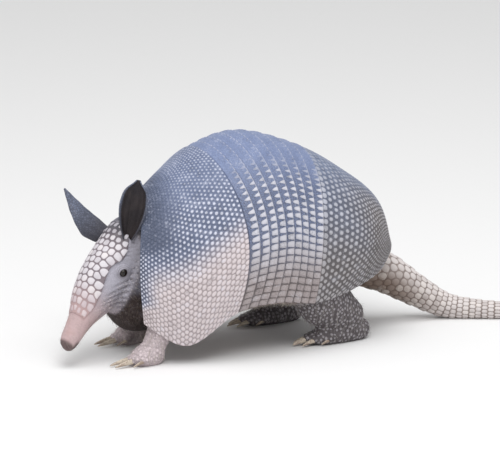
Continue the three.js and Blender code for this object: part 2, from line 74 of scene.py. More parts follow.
def places_of(verts):
    """The places of a mesh's points, in millimetres."""
    return to_mm([vert.co for vert in verts])


def move(verts, points):
    """Puts a mesh's points at places in millimetres."""
    for vert, point in zip(verts, to_frame(points)):
        vert.co = point


def as_mesh(bm, name):
    """Ends the work on a mesh and keeps it under a name."""
    mesh = bpy.data.meshes.new(name)
    bm.to_mesh(mesh)
    bm.free()
    return mesh


def in_scene(name, data):
    """An object for a mesh, lamp or camera, linked to the scene."""
    obj = bpy.data.objects.new(name, data)
    bpy.context.scene.collection.objects.link(obj)
    return obj


# %% [markdown]
# ## The camera
#
# The animal is seen from its left and a little ahead, from just over its back. A long lens
# from far away keeps a small animal's proportions true, as a picture taken from a few
# metres off does, so the camera stands six metres away and its lens is worked out from
# the width that the view should take in.

# %% Place the camera
VIEW_SIDE = math.radians(60)
VIEW_HEIGHT = math.radians(12.3)
VIEW_WIDTH = 475.0 * MM
AIM = Vector(to_frame((-13.65, 18.85, 97.5)))
DISTANCE = 6.0
towards = Vector((
    math.sin(VIEW_SIDE) * math.cos(VIEW_HEIGHT),
    -math.cos(VIEW_SIDE) * math.cos(VIEW_HEIGHT),
    math.sin(VIEW_HEIGHT),
))
lens = bpy.data.cameras.new("camera")
lens.sensor_fit = "HORIZONTAL"
lens.lens = lens.sensor_width * DISTANCE / VIEW_WIDTH
lens.clip_end = 50
camera = in_scene("camera", lens)
camera.location = AIM + towards * DISTANCE
camera.rotation_euler = towards.to_track_quat("Z", "Y").to_euler()
bpy.context.scene.camera = camera
print("a lens of", round(lens.lens), "mm from", DISTANCE, "m")

# %% [markdown]
# ## Values that run through points
#
# The frame's solids follow smooth lines through a few stations, and the surface has to
# follow the same lines or it would leave them. A Catmull-Rom curve does that: it passes
# through every value it is given. Working on whole arrays of places at once is what makes
# thousands of scutes quick.

# %% Curves and small helpers
NEAR = 0.01  # how far to either side a surface is felt for its slope
PATH_STEP = 0.05  # how far to either side a line is felt for its direction
TURN = 2 * math.pi  # a whole turn


def through(values, at):
    """The smooth line through evenly spaced values, at an array of places."""
    values = np.asarray(values, float)
    at = np.asarray(at, float)
    last = len(values) - 1
    i = np.clip(np.floor(at).astype(int), 0, last - 1)
    w = at - i
    a, b, c, d = (values[np.clip(i + step, 0, last)] for step in (-1, 0, 1, 2))
    if values.ndim > 1:
        w = w[..., None]
    leave = (c - a) / 2
    arrive = (d - b) / 2
    cubic = 2 * b - 2 * c + leave + arrive
    square = -3 * b + 3 * c - 2 * leave - arrive
    return ((cubic * w + square) * w + leave) * w + b


def smooth(low, high, value):
    """0 below low, 1 above high, and an easy rise between them."""
    t = np.clip((np.asarray(value, float) - low) / (high - low), 0, 1)
    return t * t * (3 - 2 * t)


def unit(vectors):
    return vectors / np.linalg.norm(vectors, axis=-1, keepdims=True)


def blend(low, high, share):
    return low + (high - low) * share


def bell(offset, width):
    """1 where there is no offset, falling to almost nothing at twice the width."""
    return np.exp(-((offset / width) ** 2))


def heading(line, at):
    """The way a line through points runs, from just behind a place to just ahead of it."""
    last = len(line) - 1
    ahead = through(line, np.minimum(at + PATH_STEP, last))
    return unit(ahead - through(line, np.maximum(at - PATH_STEP, 0)))




def slopes(surface, along, across):
    """How a surface moves from just before a place to just after it, each way."""
    fore = surface(along + NEAR, across) - surface(along - NEAR, across)
    side = surface(along, across + NEAR) - surface(along, across - NEAR)
    return fore, side


def lifted(surface, along, across, height):
    """A surface's points, raised by a height in millimetres straight out of it."""
    fore, side = slopes(surface, along, across)
    out = unit(np.cross(side, fore))
    return surface(along, across) + out * np.asarray(height, float)[..., None]


def stretch(surface, along, across):
    """Millimetres that one step along and one step across cover, as pairs."""
    sizes = [np.linalg.norm(v, axis=-1) / (2 * NEAR) for v in slopes(surface, along, across)]
    return np.stack(sizes, -1)


print("the line through 0, 1, 4 is at", through([0, 1, 4], 1.5), "halfway to the last")

# %% [markdown]
# ## Finishes
#
# A finish is a tree of nodes. Written as sums it reads like what it means: a Wire stands
# for one node's output, and adding or multiplying Wires adds the Math nodes. Python does
# the sums that are only numbers, so that no node is spent on them. Every other node comes
# from one method, which sets the node up first and then fills its sockets.

# %% Wires and finishes


class Wire:
    """A node's output, which can be used in sums."""

    def __init__(self, finish, socket):
        self.finish = finish
        self.socket = socket

    def maths(self, operation, *others):
        inputs = dict(enumerate((self, *others)))
        return self.finish.node("ShaderNodeMath", {"operation": operation}, inputs)

    def __add__(self, other):
        return self.maths("ADD", other)

    def __sub__(self, other):
        return self.maths("SUBTRACT", other)

    def __mul__(self, other):
        return self.maths("MULTIPLY", other)

    def __rsub__(self, other):
        return (self * -1.0) + other

    __radd__ = __add__
    __rmul__ = __mul__

    def rise(self, low, high):
        """0 below low, 1 above high, and an easy rise between them."""
        settings = {"interpolation_type": "SMOOTHSTEP"}
        inputs = {"Value": self, "From Min": low, "From Max": high}
        return self.finish.node("ShaderNodeMapRange", settings, inputs)


class Finish:
    """A material and the short words that its nodes are made with."""

    def __init__(self, name, fixed):
        self.material = bpy.data.materials.new(name)
        self.material.use_nodes = True
        self.tree = self.material.node_tree
        self.shader = self.tree.nodes["Principled BSDF"]
        for socket, value in fixed.items():
            self.shader.inputs[socket].default_value = value

    def node(self, kind, settings=None, inputs=None, output=0):
        made = self.tree.nodes.new(kind)
        for key, value in (settings or {}).items():
            setattr(made, key, value)
        for key, value in (inputs or {}).items():
            self.put(made.inputs[key], value)
        return Wire(self, made.outputs[output])

    def put(self, socket, value):
        if isinstance(value, Wire):
            self.tree.links.new(value.socket, socket)
        else:
            socket.default_value = value

    def into(self, name, value):
        self.put(self.shader.inputs[name], value)

    def marking(self, name):
        return self.node("ShaderNodeAttribute", {"attribute_name": name}, output=2)

    def place(self, stretched=(1, 1, 1)):
        """Places on the object in metres, which may be drawn out along an axis."""
        here = self.node("ShaderNodeTexCoord", output=3)
        if stretched == (1, 1, 1):
            return here
        settings = {"operation": "MULTIPLY"}
        return self.node("ShaderNodeVectorMath", settings, {0: here, 1: stretched})

    def flow(self, along, across):
        """Places on a surface's own lines, which a grain then follows."""
        return self.node("ShaderNodeCombineXYZ", None, {0: along, 1: across})

    def noise(self, where, scale, detail=3.0, roughness=0.5):
        inputs = {"Vector": where, "Scale": scale, "Detail": detail, "Roughness": roughness}
        return self.node("ShaderNodeTexNoise", None, inputs)

    def net(self, where, scale, wide):
        """0 on the lines between cells, rising to 1 inside them."""
        inputs = {"Vector": where, "Scale": scale, "Randomness": 1.0}
        lines = self.node("ShaderNodeTexVoronoi", {"feature": "DISTANCE_TO_EDGE"}, inputs)
        return lines.rise(0.0, wide)

    def mix(self, factor, low, high):
        """From one colour to another."""
        low, high = (c if isinstance(c, Wire) else (*c, 1.0) for c in (low, high))
        settings = {"data_type": "RGBA"}
        return self.node("ShaderNodeMix", settings, {0: factor, 6: low, 7: high}, output=2)

    def layers(self, colour, **tints):
        """A colour with others laid over it in turn, each where its marking is."""
        for name, tint in tints.items():
            colour = self.mix(self.marking(name), colour, tint)
        return colour

    def mottle(self, colour, shade, reach, light, lit, dark, dimmed):
        """The base colour: light where the shade is over 0 and dark where it is under."""
        colour = self.mix(shade.rise(0.0, reach) * lit, colour, light)
        self.into("Base Color", self.mix(shade.rise(0.0, -reach) * dimmed, colour, dark))

    def bump(self, height, distance):
        inputs = {"Height": height, "Distance": distance, "Strength": 1.0}
        self.into("Normal", self.node("ShaderNodeBump", None, inputs))


def shown(name, points, faces, finish, markings, places):
    """A mesh from arrays, as a finished piece of the animal."""
    mesh = bpy.data.meshes.new(name)
    mesh.from_pydata(to_frame(points).tolist(), [], faces)
    return dress(mesh, name, finish, markings, places=places)


def dress(mesh, name, finish, markings, stands_for=(), places=None):
    """Gives a mesh its markings, its map, its finish and its place in the frame."""
    for key, values in markings.items():
        layer = mesh.attributes.new(key, "FLOAT", "POINT")
        layer.data.foreach_set("value", np.ascontiguousarray(values, dtype=np.float32))
    if places is not None:
        corners = np.empty(len(mesh.loops), dtype=np.int32)
        mesh.loops.foreach_get("vertex_index", corners)
        chart = mesh.uv_layers.new(name="OFBake")
        spread = np.ascontiguousarray(places[corners], dtype=np.float32)
        chart.data.foreach_set("uv", spread.ravel())
    mesh.shade_smooth()
    obj = in_scene(name, mesh)
    mesh.materials.append(finish.material)
    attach(obj, "root")
    if stands_for:
        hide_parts(*stands_for)
    return obj


def triangles(obj):
    return sum(len(face.vertices) - 2 for face in obj.data.polygons)


print("finishes are ready to be written")

# %% [markdown]
# ## The shell's surface
#
# The carapace is two shields of fused bone with nine loose bands between them. One formula
# gives them all: a place along the back, from the nape at 0 to the rump at 7, and a place
# across, from -1 at the right margin to 1 at the left. Laying everything out in those two
# numbers means that a scute, a groove or a stripe bends with the back by itself. Each
# plate's rear edge rises a little, because it rides over the plate behind it. The rump has
# no plate behind it and no lip.

# %% The carapace as a formula
SHELL = np.array((
    # dorsal y, z, margin y, z, half-width, wrap, sweep, yaw
    (-110, 153, -117, 40, 51, 106, -7, -16),
    (-80, 174, -83, 18, 68, 111, -2, -8),
    (-46, 191, -46, 47, 83, 114, 10, 0),
    (2, 202, -3, 52, 86, 114, 7, 0),
    (62, 183, 38, 46.5, 80, 110, -3, 0),
    (104, 158.5, 72, 51, 75.5, 108, 10, 0),
    (139, 130, 114, 63, 63, 104, -2, 0),
    (151, 93, 140, 77.5, 42.5, 95, -1, 0),
), float)
BELLY = np.array((44, 27, 35, 42, 38, 42, 54, 66), float)
FIRST_BAND = 2.0
RUMP = 4.0
REAR = 7.0
BANDS = 9
BAND_STEP = (RUMP - FIRST_BAND) / BANDS
SEAM = 0.04 * BAND_STEP
BAND_LIP = 1.1
PLATE_THICK = 2.4
PLATE_EDGE = 0.45


def carapace(at, across):
    """A point of the shell, from its place along and its place across."""
    values = np.moveaxis(through(SHELL, at), -1, 0)
    dorsal_y, dorsal_z, margin_y, margin_z, half, wrap, sweep, yaw = values
    wrap = np.radians(wrap)
    turn = across * wrap
    drop = (1 - np.cos(turn)) / (1 - np.cos(wrap))
    x = half * np.sin(turn)
    y = blend(dorsal_y, margin_y, drop) + sweep * np.sin(np.pi * drop)
    z = blend(dorsal_z, margin_z, drop)
    return np.stack((x * np.cos(np.radians(yaw)), y + x * np.sin(np.radians(yaw)), z), -1)


def plate_surface(start, end, lip):
    """The same, for one plate whose rear edge rises by a lip."""

    def surface(at, across):
        along = np.clip((at - start) / (end - start), 0, 1)
        return lifted(carapace, at, across, lip * along**2)

    return surface


SHOULDER_END = FIRST_BAND - SEAM
PLATES = {"shoulder_shield": (0.0, SHOULDER_END, BAND_LIP)}
for number in range(BANDS):
    front = FIRST_BAND + number * BAND_STEP
    PLATES[f"band_{number + 1}"] = (front, front + BAND_STEP - SEAM, BAND_LIP)
PLATES["rump_shield"] = (RUMP, REAR, 0.0)
print("the back rises to", carapace(np.array(3.0), np.array(0.0))[2], "mm at station 3")

# %% [markdown]
# ## The shell's finish
#
# Under the horn the plates are dark slate, and each scute carries a pale boss. Along the
# spine the horn's colour carries a painted bluish sheen, the reflection of the sky, and down
# the flanks the bosses turn whitish. Low down they are cream on the shoulders and brown
# behind, and on the bands that brown is darkened by painted shade where the flank turns
# under, with only thin seams left. Painted shade also darkens the horn behind the neck. The
# mesh carries what a point is (boss or seam, how far down, how far back), and the finish
# turns that into colour, so plate and scute agree wherever they meet.

# %% The shell's finish


def shell_finish(name, top, seam, boss, low_seam, low_boss, grain):
    """Horn over bone: its colours from the spine down, the top one with a painted sheen, and how strong
    its grain is.
    """
    horn = Finish(name, {"Specular IOR Level": 0.35})
    names = ("down", "low", "core", "tone", "pale", "dim")
    down, low, core, tone, pale, dim = map(horn.marking, names)
    here = horn.place()
    flow = horn.flow(horn.marking("run") * 0.25, horn.marking("girth"))
    fine = horn.noise(here, 620.0, 4.0, 0.6)
    blotch = horn.noise(here, 75.0, 3.0)
    streak = horn.noise(flow, 2.6, 3.0, 0.55)
    # The top colour is slate with a painted bluish sheen; down the flanks the seam colour takes over.
    ground = horn.mix(down.rise(0.2, 0.55), top, seam)
    ground = horn.mix((streak - 0.5) * grain + 0.35, ground, [c * 1.7 for c in top])
    # Painted shade darkens the horn behind the neck.
    ground = horn.mix(dim, ground, [c * 0.45 for c in top])
    ground = horn.mix(low, ground, low_seam)
    bright = horn.mix(low, boss, low_boss)
    bright = horn.mix((fine - 0.35) * 0.5, bright, [c * 0.7 for c in boss])
    crust = horn.mix(core * pale, ground, bright)
    shade = (tone - 0.5) * 0.3 + (blotch - 0.5) * 0.7 + (fine - 0.5) * 1.3
    horn.mottle(crust, shade, 0.5, [c * 1.2 for c in boss], 0.35, [c * 0.6 for c in seam], 0.45)
    horn.into("Roughness", 0.36 + fine * 0.2 + down * 0.14)
    horn.bump(fine * 0.5 + streak * 0.7, 0.00022)
    return horn


# Each top colour below is slate with a painted bluish sheen of reflected sky.
SHIELD_HORN = shell_finish(
    "shield_horn",
    top=(0.125, 0.155, 0.25),
    seam=(0.085, 0.097, 0.145),
    boss=(0.62, 0.64, 0.75),
    low_seam=(0.4, 0.34, 0.345),
    low_boss=(0.7, 0.615, 0.625),
    grain=1.1,
)
BAND_HORN = shell_finish(
    "band_horn",
    top=(0.14, 0.178, 0.3),
    seam=(0.07, 0.075, 0.1),
    boss=(0.6, 0.6, 0.665),
    # Low on the bands these colours are darkened by painted shade where the flank turns under.
    low_seam=(0.15, 0.128, 0.126),
    low_boss=(0.37, 0.315, 0.31),
    grain=3.4,
)
RUMP_HORN = shell_finish(
    "rump_horn",
    top=(0.135, 0.165, 0.245),
    seam=(0.075, 0.072, 0.085),
    boss=(0.47, 0.485, 0.56),
    low_seam=(0.13, 0.118, 0.12),
    low_boss=(0.4, 0.38, 0.39),
    grain=1.0,
)
print("three shell finishes, with", len(SHIELD_HORN.tree.nodes), "nodes each")

# %% [markdown]
# ## The plates under the scutes
#
# Each plate is a curved sheet of bone about two and a half millimetres thick. A flat grid
# bent by the carapace's formula has even faces everywhere, which a box cut to shape
# wouldn't have, and a Solidify modifier gives it its thickness inwards, so that the outer
# face stays exactly where the frame has it. A small bevel rounds the edges.

# %% Bend and thicken the plates


def bent_grid(columns, rows, surface):
    """A grid of faces bent onto a surface; across and along run from 0 to 1 on it."""
    bm = bmesh.new()
    bmesh.ops.create_grid(bm, x_segments=columns, y_segments=rows, size=0.5)
    flat = np.array([vert.co[:2] for vert in bm.verts]) + 0.5
    move(bm.verts, surface(flat[:, 1], flat[:, 0]))
    bm.normal_update()
    return bm, flat


def cream_zone(at, across):
    """1 where the scutes turn from bossed slate to cream or brown, low on each side."""
    down = np.abs(across)
    shoulder = smooth(-0.1, 0.08, down - blend(0.74, 0.6, np.clip(at / FIRST_BAND, 0, 1)))
    band = smooth(0.62, 0.92, down)
    behind = smooth(RUMP, RUMP + 1.6, at)
    rump = np.maximum(smooth(0.45, 0.85, down), behind * smooth(0.1, 0.5, down))
    on_band = smooth(FIRST_BAND - 0.02, FIRST_BAND, at)
    shoulder = shoulder * blend(0.1, 1.0, smooth(0.1, 0.55, at + 0.6 * smooth(0.84, 0.96, down)))
    return np.where(at > RUMP - 0.02, rump, blend(shoulder, band, on_band))


def painted_collar_shade(at, across):
    """How strong the painted shade is behind the neck, where the horn is finely grained and has no
    bosses.
    """
    down = np.abs(across)
    nape = smooth(1.1, 0.3, at) * smooth(0.68, 0.5, down)
    rim = smooth(0.4, 0.05, at) * smooth(0.95, 0.75, down)
    return np.maximum(nape, rim)


def shell_markings(at, across, core, tone, pale):
    """What the shell's finish needs to know about each point."""
    points = carapace(at, across)
    size = stretch(carapace, at, across)
    return {
        # painted shade behind the neck
        "dim": painted_collar_shade(at, across) * 0.75,
        "down": np.abs(across),
        "low": cream_zone(at, across),
        "core": core,
        "tone": tone,
        "pale": pale,
        "girth": across * size[:, 1],
        "run": points[:, 1],
    }


def thicken(obj, thickness):
    """Gives a sheet its thickness inwards, in millimetres."""
    wall = obj.modifiers.new("wall", "SOLIDIFY")
    wall.thickness = thickness * MM
    wall.offset = -1


PLATE_ROWS = {"shoulder_shield": 36, "rump_shield": 44}
BAND_ROWS = 8
PLATE_COLUMNS = 120
shell_horns = {"shoulder_shield": SHIELD_HORN, "rump_shield": RUMP_HORN}
for name, (start, end, lip) in PLATES.items():
    bend = plate_surface(start, end, lip)
    bm, flat = bent_grid(
        PLATE_COLUMNS,
        PLATE_ROWS.get(name, BAND_ROWS),
        lambda along, across: bend(blend(start, end, along), 2 * across - 1),
    )
    at = blend(start, end, flat[:, 1])
    bare = np.zeros(len(flat))
    rim = smooth(0.87, 0.97, flat[:, 1]) * name.startswith("band")
    markings = shell_markings(at, 2 * flat[:, 0] - 1, rim, bare + 0.5, bare + 0.75)
    horn = shell_horns.get(name, BAND_HORN)
    plate = dress(as_mesh(bm, name), f"{name}_plate", horn, markings, (name,))
    thicken(plate, PLATE_THICK)
    edge = plate.modifiers.new("edge", "BEVEL")
    edge.width = PLATE_EDGE * MM
    edge.segments = 2
    edge.limit_method = "ANGLE"
print(len(PLATES), "plates")

# %% [markdown]
# ## Scutes
#
# A scute is a small tile of horn. Its neighbours shape it: its edge lies halfway to each of
# them, so packed rows give hexagons, and a crowded corner gives whatever fits. That is
# worked out for all of them at once: in each of a dozen directions the nearest halfway
# line is found, and a soft minimum rounds the corners. Each tile then gets a wall, a rim,
# a groove and a boss. They are joined into one mesh from arrays, because thousands of
# separate objects would be slow, and each has only about fifty faces.

# %% The scute maker
ROUNDING = 9.0  # power of the soft minimum: higher keeps corners sharper
LEAST = 0.15  # millimetres that even the smallest scute reaches
LEAST_EDGE = 0.2  # the same, once the seams are taken off
NEIGHBOURS = 9
SHIELD_SIDES = 9


def halfway(centres, size, period=None):
    """Direction of, and half the distance to, each scute's nearest neighbours."""
    gap = centres[None] - centres[:, None]
    if period:
        gap[..., 1] = (gap[..., 1] + period / 2) % period - period / 2
    gap *= size[:, None]
    distance = np.linalg.norm(gap, axis=-1)
    nearest = np.argsort(distance, axis=1)[:, 1 : NEIGHBOURS + 1]
    gap = np.take_along_axis(gap, nearest[..., None], axis=1)
    return np.arctan2(gap[..., 0], gap[..., 1]), np.linalg.norm(gap, axis=-1) / 2


def borders(centres, size, start, end):
    """The same for the four edges of the plate that the scutes stand on."""
    ahead = (centres[:, 0] - start) * size[:, 0]
    behind = (end - centres[:, 0]) * size[:, 0]
    left = (1 - centres[:, 1]) * size[:, 1]
    right = (1 + centres[:, 1]) * size[:, 1]
    reach = np.stack((behind, ahead, left, right), -1)
    return (math.pi / 2, -math.pi / 2, 0.0, math.pi), np.maximum(reach, LEAST)


def limited(found, ways, limits):
    """Directions and distances to neighbours, with limits in more directions added."""
    added = (np.broadcast_to(ways, limits.shape), limits)
    return [np.concatenate(pair, axis=1) for pair in zip(found, added)]


def outlines(facing, reach, sides, rounding=ROUNDING):
    """How far each scute reaches in each of its directions, with its corners rounded."""
    around = TURN * (np.arange(sides) + 0.5) / sides
    lean = np.cos(around[None, None] - facing[..., None])
    far = reach[..., None] / np.maximum(lean, 0.04)
    return (far**-rounding).sum(axis=1) ** (-1 / rounding)


def scutes(surface, centres, size, edge, boss, rim_height, dome):
    """Points, faces and markings of a field of scutes, each tile ring by ring."""
    count, sides = edge.shape
    boss = np.broadcast_to(boss, count)[:, None]
    inner = edge * boss
    groove = np.minimum(inner + 0.35, edge * 0.94)
    rings = (edge, edge * 0.96, groove, inner * 0.9, inner * 0.5)
    rim = np.broadcast_to(rim_height, count)[:, None]
    dome = np.broadcast_to(dome, count)[:, None]
    heights = (rim * 0 - 0.4, rim, rim * 0.7, rim + dome * 0.6, rim + dome)
    cores = (0.0, 0.0, 0.08, 0.9, 1.0, 1.0)
    around = TURN * (np.arange(sides) + 0.5) / sides
    along, across, height = [], [], []
    for reach, high in zip(rings, heights):
        along.append(centres[:, :1] + reach * np.sin(around) / size[:, :1])
        across.append(centres[:, 1:] + reach * np.cos(around) / size[:, 1:])
        height.append(np.broadcast_to(high, edge.shape))
    along = np.concatenate((*along, centres[:, :1]), axis=1)
    across = np.concatenate((*across, centres[:, 1:]), axis=1)
    height = np.concatenate((*height, rim + dome * 1.1), axis=1)
    core = np.concatenate([np.full(sides, value) for value in cores[:-1]] + [cores[-1:]])
    tile = []
    for ring in range(len(rings) - 1):
        for k in range(sides):
            n = (k + 1) % sides
            outer, inner_ring = ring * sides, (ring + 1) * sides
            tile.append((outer + k, outer + n, inner_ring + n, inner_ring + k))
    last = (len(rings) - 1) * sides
    tip = len(rings) * sides
    caps = [(last + k, last + (k + 1) % sides, tip) for k in range(sides)]
    first = (np.arange(count) * along.shape[1])[:, None, None]
    quads = (np.array(tile)[None] + first).reshape(-1, 4).tolist()
    fans = (np.array(caps)[None] + first).reshape(-1, 3).tolist()
    tone = np.repeat(chance.random(count), along.shape[1])
    flat = along.ravel(), across.ravel()
    points = lifted(surface, *flat, height.ravel())
    return points, quads + fans, flat, np.tile(core, count), tone


def chart(along, across, start, end, side=1.0):
    """Where points lie on a plate's own unwrap, kept just inside its edges."""
    u = 0.5 + 0.49 * across / side
    v = 0.01 + 0.98 * (along - start) / (end - start)
    return np.stack((u, v), -1)


def staggered(start, end, rows, columns, jitter):
    """Centres in offset rows, each moved a little, as (along, across) pairs."""
    centres = []
    for row in range(rows):
        along = blend(start, end, (row + 0.5) / rows)
        half = (row % 2) / 2
        across = 2 * (np.arange(columns) + 0.25 + half) / columns - 1
        centres.append(np.stack((np.full(columns, along), across), -1))
    centres = np.concatenate(centres)
    step = np.array(((end - start) / rows, 2 / columns))
    return centres + chance.normal(0, jitter, centres.shape) * step


def packed(surface, centres, start, end):
    """The size of a step at each of a shield's scutes, and the scutes' outlines."""
    size = stretch(surface, *centres.T)
    around = limited(halfway(centres, size), *borders(centres, size, start, end))
    return size, outlines(*around, SHIELD_SIDES)


def plated(piece, plate, horn, centres, size, edge, boss, rim, dome, pale, least=0.0):
    """A plate's scutes as a finished piece; no point's core marking is under least."""
    start, end, lip = PLATES[plate]
    surface = plate_surface(start, end, lip)
    points, faces, flat, core, tone = scutes(surface, centres, size, edge, boss, rim, dome)
    each = len(core) // len(centres)
    least, pale = (np.repeat(np.broadcast_to(v, len(centres)), each) for v in (least, pale))
    markings = shell_markings(*flat, np.maximum(core, least), tone, pale)
    return shown(piece, points, faces, horn, markings, chart(*flat, start, end))


print("the scute maker is ready")

# %% [markdown]
# ## The shoulder shield's scutes
#
# Rows of scutes run round the shoulders, alternate rows offset. Near the spine the bosses
# are small and worn nearly smooth. Down the side they swell until they fill their scutes.

# %% Scutes on the shoulder shield
SHOULDER_ROWS = 26
SHOULDER_COLUMNS = 82
start, end, lip = PLATES["shoulder_shield"]
bend = plate_surface(start, end, lip)
centres = staggered(start, end, SHOULDER_ROWS, SHOULDER_COLUMNS, 0.055)
size, edge = packed(bend, centres, start, end)
down = np.abs(centres[:, 1])
bare = smooth(1.15, 0.35, centres[:, 0]) * smooth(0.66, 0.5, down)
dotted = blend(0.55, 1.0, smooth(0.28, 0.5, down)) * (1 - bare)
cream = cream_zone(*centres.T)
edge = np.maximum(edge - blend(0.16, 0.24, cream)[:, None], LEAST_EDGE)
boss = blend(blend(0.27, 0.5, dotted), 0.86, cream) + chance.normal(0, 0.04, len(centres))
dome = blend(0.06, 0.32, dotted)
pale = blend(0.05, 1.0, smooth(0.1, 0.9, dotted))
tiles = (centres, size, edge, boss, 0.18, dome, pale, cream * 0.4)
shoulder = plated("shoulder_scutes", "shoulder_shield", SHIELD_HORN, *tiles)
print(len(centres), "scutes,", triangles(shoulder), "triangles")

# %% [markdown]
# ## The bands' scutes
#
# A band's scutes are wedges: broad at the rear edge and pointing forwards, with smooth dark
# horn between them. Each is cut by four straight lines instead of by its neighbours. They
# are slim along the spine and fill out down the flank, where they lie like roof tiles.

# %% Scutes on the bands
BAND_SCUTES = 62
WEDGE_SIDES = 14
WEDGE_END = 0.99  # how far back on the band a wedge goes
for number in range(BANDS):
    name = f"band_{number + 1}"
    start, end, lip = PLATES[name]
    bend = plate_surface(start, end, lip)
    across = 2 * (np.arange(BAND_SCUTES) + 0.5) / BAND_SCUTES - 1
    across += chance.normal(0, 0.05 / BAND_SCUTES, BAND_SCUTES)
    down = np.abs(across)
    front = blend(0.42, 0.12, smooth(0.35, 0.85, down)) + chance.normal(0, 0.03, BAND_SCUTES)
    middle = (front + WEDGE_END) / 2 + 0.12
    centres = np.stack((blend(start, end, middle), across), -1)
    size = stretch(bend, *centres.T)
    long = (end - start) * size[:, 0]
    pitch = 2 / BAND_SCUTES * size[:, 1]
    broad = pitch * blend(0.66, 0.92, smooth(0.35, 0.75, down))
    narrow = pitch * blend(0.06, 0.84, smooth(0.3, 0.9, down))
    lean = np.arctan2((broad - narrow) / 2, long * (WEDGE_END - front))
    at_middle = blend(narrow, broad, (middle - front) / (WEDGE_END - front)) / 2 * np.cos(lean)
    up = np.full(BAND_SCUTES, math.pi / 2)
    facing = np.stack((up, -up, -lean, math.pi + lean), -1)
    reach = np.stack((long * (0.995 - middle), long * (middle - front), at_middle, at_middle), -1)
    edge = outlines(facing, np.maximum(reach, LEAST), WEDGE_SIDES)
    dotted = smooth(0.24, 0.46, down)
    rim = blend(0.06, 0.4, dotted)
    tiles = (centres, size, edge, 0.84, rim, 0.14, blend(0.08, 1.0, dotted), 0.75)
    scuted = plated(f"{name}_scutes", name, BAND_HORN, *tiles)
print(BAND_SCUTES, "scutes on each band,", triangles(scuted), "triangles")

# %% [markdown]
# ## The rump shield's scutes
#
# The rump's scutes are closer set. The first row is square and pale like the bands', then
# come round bosses on dark horn that shrink towards the tail, and flattened tiles along
# the lower rim.

# %% Scutes on the rump shield
RUMP_ROWS = 31
RUMP_COLUMNS = 58
CROWDING = 0.22  # how much closer the rows are at the tail than at the last band
start, end, lip = PLATES["rump_shield"]
bend = plate_surface(start, end, lip)
centres = staggered(start, end, RUMP_ROWS, RUMP_COLUMNS, 0.06)
row = (centres[:, 0] - start) / (end - start)
centres[:, 0] += CROWDING * row * (1 - row) * (end - start)
size, edge = packed(bend, centres, start, end)
edge = np.maximum(edge - 0.28, LEAST_EDGE)
down = np.abs(centres[:, 1])
row = (centres[:, 0] - start) / (end - start)
rim = smooth(0.94, 0.98, down)
dotted = smooth(0.18, 0.45, down)
first = 1 - smooth(0.03, 0.05, row)
boss = blend(0.6, 0.66, smooth(0.3, 0.9, row)) + chance.normal(0, 0.04, len(centres))
boss = np.maximum(boss, 0.84 * np.maximum(rim, first))
fade = blend(1.0, 0.75, smooth(0.35, 0.9, row) * smooth(0.5, 0.9, down))
pale = blend(0.45, 1.0, dotted) * fade
tiles = (centres, size, edge, boss, 0.22, 0.34, pale)
rumped = plated("rump_scutes", "rump_shield", RUMP_HORN, *tiles)
print(len(centres), "scutes,", triangles(rumped), "triangles")

# %% [markdown]
# ## The head's surface
#
# The head is measured in its own frame, with the point between the ears at zero, and then
# nodded down and turned. A place on it is a station along the head, and an angle from the
# crown. Keeping that frame lets the eyes, the folds and the mouth be placed on the head as
# if it looked straight ahead.

# %% The head as a formula
HEAD_PLACE = Matrix.Translation((4, -135, 126.5))
HEAD_TURN = Euler((math.radians(45.2), 0, math.radians(11.8)), "XYZ").to_matrix().to_4x4()
HEAD_FRAME = np.array(HEAD_PLACE @ HEAD_TURN)
HEAD = np.array((
    # ahead, crown, jaw, half-width
    (-18, -9, -36, 20),
    (0, -0.5, -46, 23.5),
    (18, 0.3, -53, 24.5),
    (36, 0.8, -55, 23),
    (54, -0.2, -52, 19.5),
    (72, -4.8, -46, 15),
    (88, -12, -41, 11.8),
    (103, -17.5, -39.5, 10.4),
    (119.5, -21.5, -40, 9.4),
), float)
HEAD_LAST = len(HEAD) - 1
SHIELD_SPANS = (34, 50, 57, 48, 56, 68, 74, 66)
SHIELD_FROM = -2.0
SHIELD_TO = 92.0
SHIELD_OVER = 0.7
SHIELD_THICK = 1.5
BASE_THICK = 1.1
BASE_GRID = (40, 60)


def from_head(points):
    """Places in the head's own frame as places on the animal."""
    return points @ HEAD_FRAME[:3, :3].T + HEAD_FRAME[:3, 3]


def to_head(points):
    return (points - HEAD_FRAME[:3, 3]) @ HEAD_FRAME[:3, :3]


def head_local(at, angle, height=0.0):
    """The head's skin in its own frame: station, angle from the crown, height over it."""
    ahead, crown, jaw, half = np.moveaxis(through(HEAD, at), -1, 0)
    narrow = 1 - 0.4 * np.maximum(-np.cos(angle), 0) ** 1.5
    x = (half + height) * np.sin(angle) * narrow
    z = (crown + jaw) / 2 + ((crown - jaw) / 2 + height) * np.cos(angle)
    return np.stack((x, -ahead, z), -1)


STATIONS = np.linspace(0, HEAD_LAST, 400)
AHEADS = through(HEAD, STATIONS)[:, 0]


def head_station(ahead):
    """Station number of the head at a distance ahead of the poll."""
    return np.interp(ahead, AHEADS, STATIONS)


def shield_span(ahead):
    """Angle from the crown to the head shield's edge."""
    along = (head_station(ahead) - head_station(SHIELD_FROM)) / SHIELD_LONG
    return np.radians(through(SHIELD_SPANS, np.clip(along, 0, 1) * (len(SHIELD_SPANS) - 1)))


SHIELD_LONG = head_station(SHIELD_TO) - head_station(SHIELD_FROM)
SHIELD_TOP = SHIELD_OVER + SHIELD_THICK - 0.5


def brow(at, across):
    """The head shield's surface; across is minus the angle from the crown."""
    sunk = SHIELD_TOP - 1.35 * smooth(head_station(74), head_station(SHIELD_TO), at)
    return from_head(head_local(at, -across, sunk))


print("the snout ends", AHEADS[-1], "mm ahead of the poll")

# %% [markdown]
# ## The head shield
#
# From between the ears to the top of the snout runs a shield of cream scutes, about as
# long as they are wide, with mauve seams. Its edge draws in over the eye. The scutes near the
# ears and the rim are small and stand apart on grey skin. The thin base between them is a
# bent grid, as the other plates are.

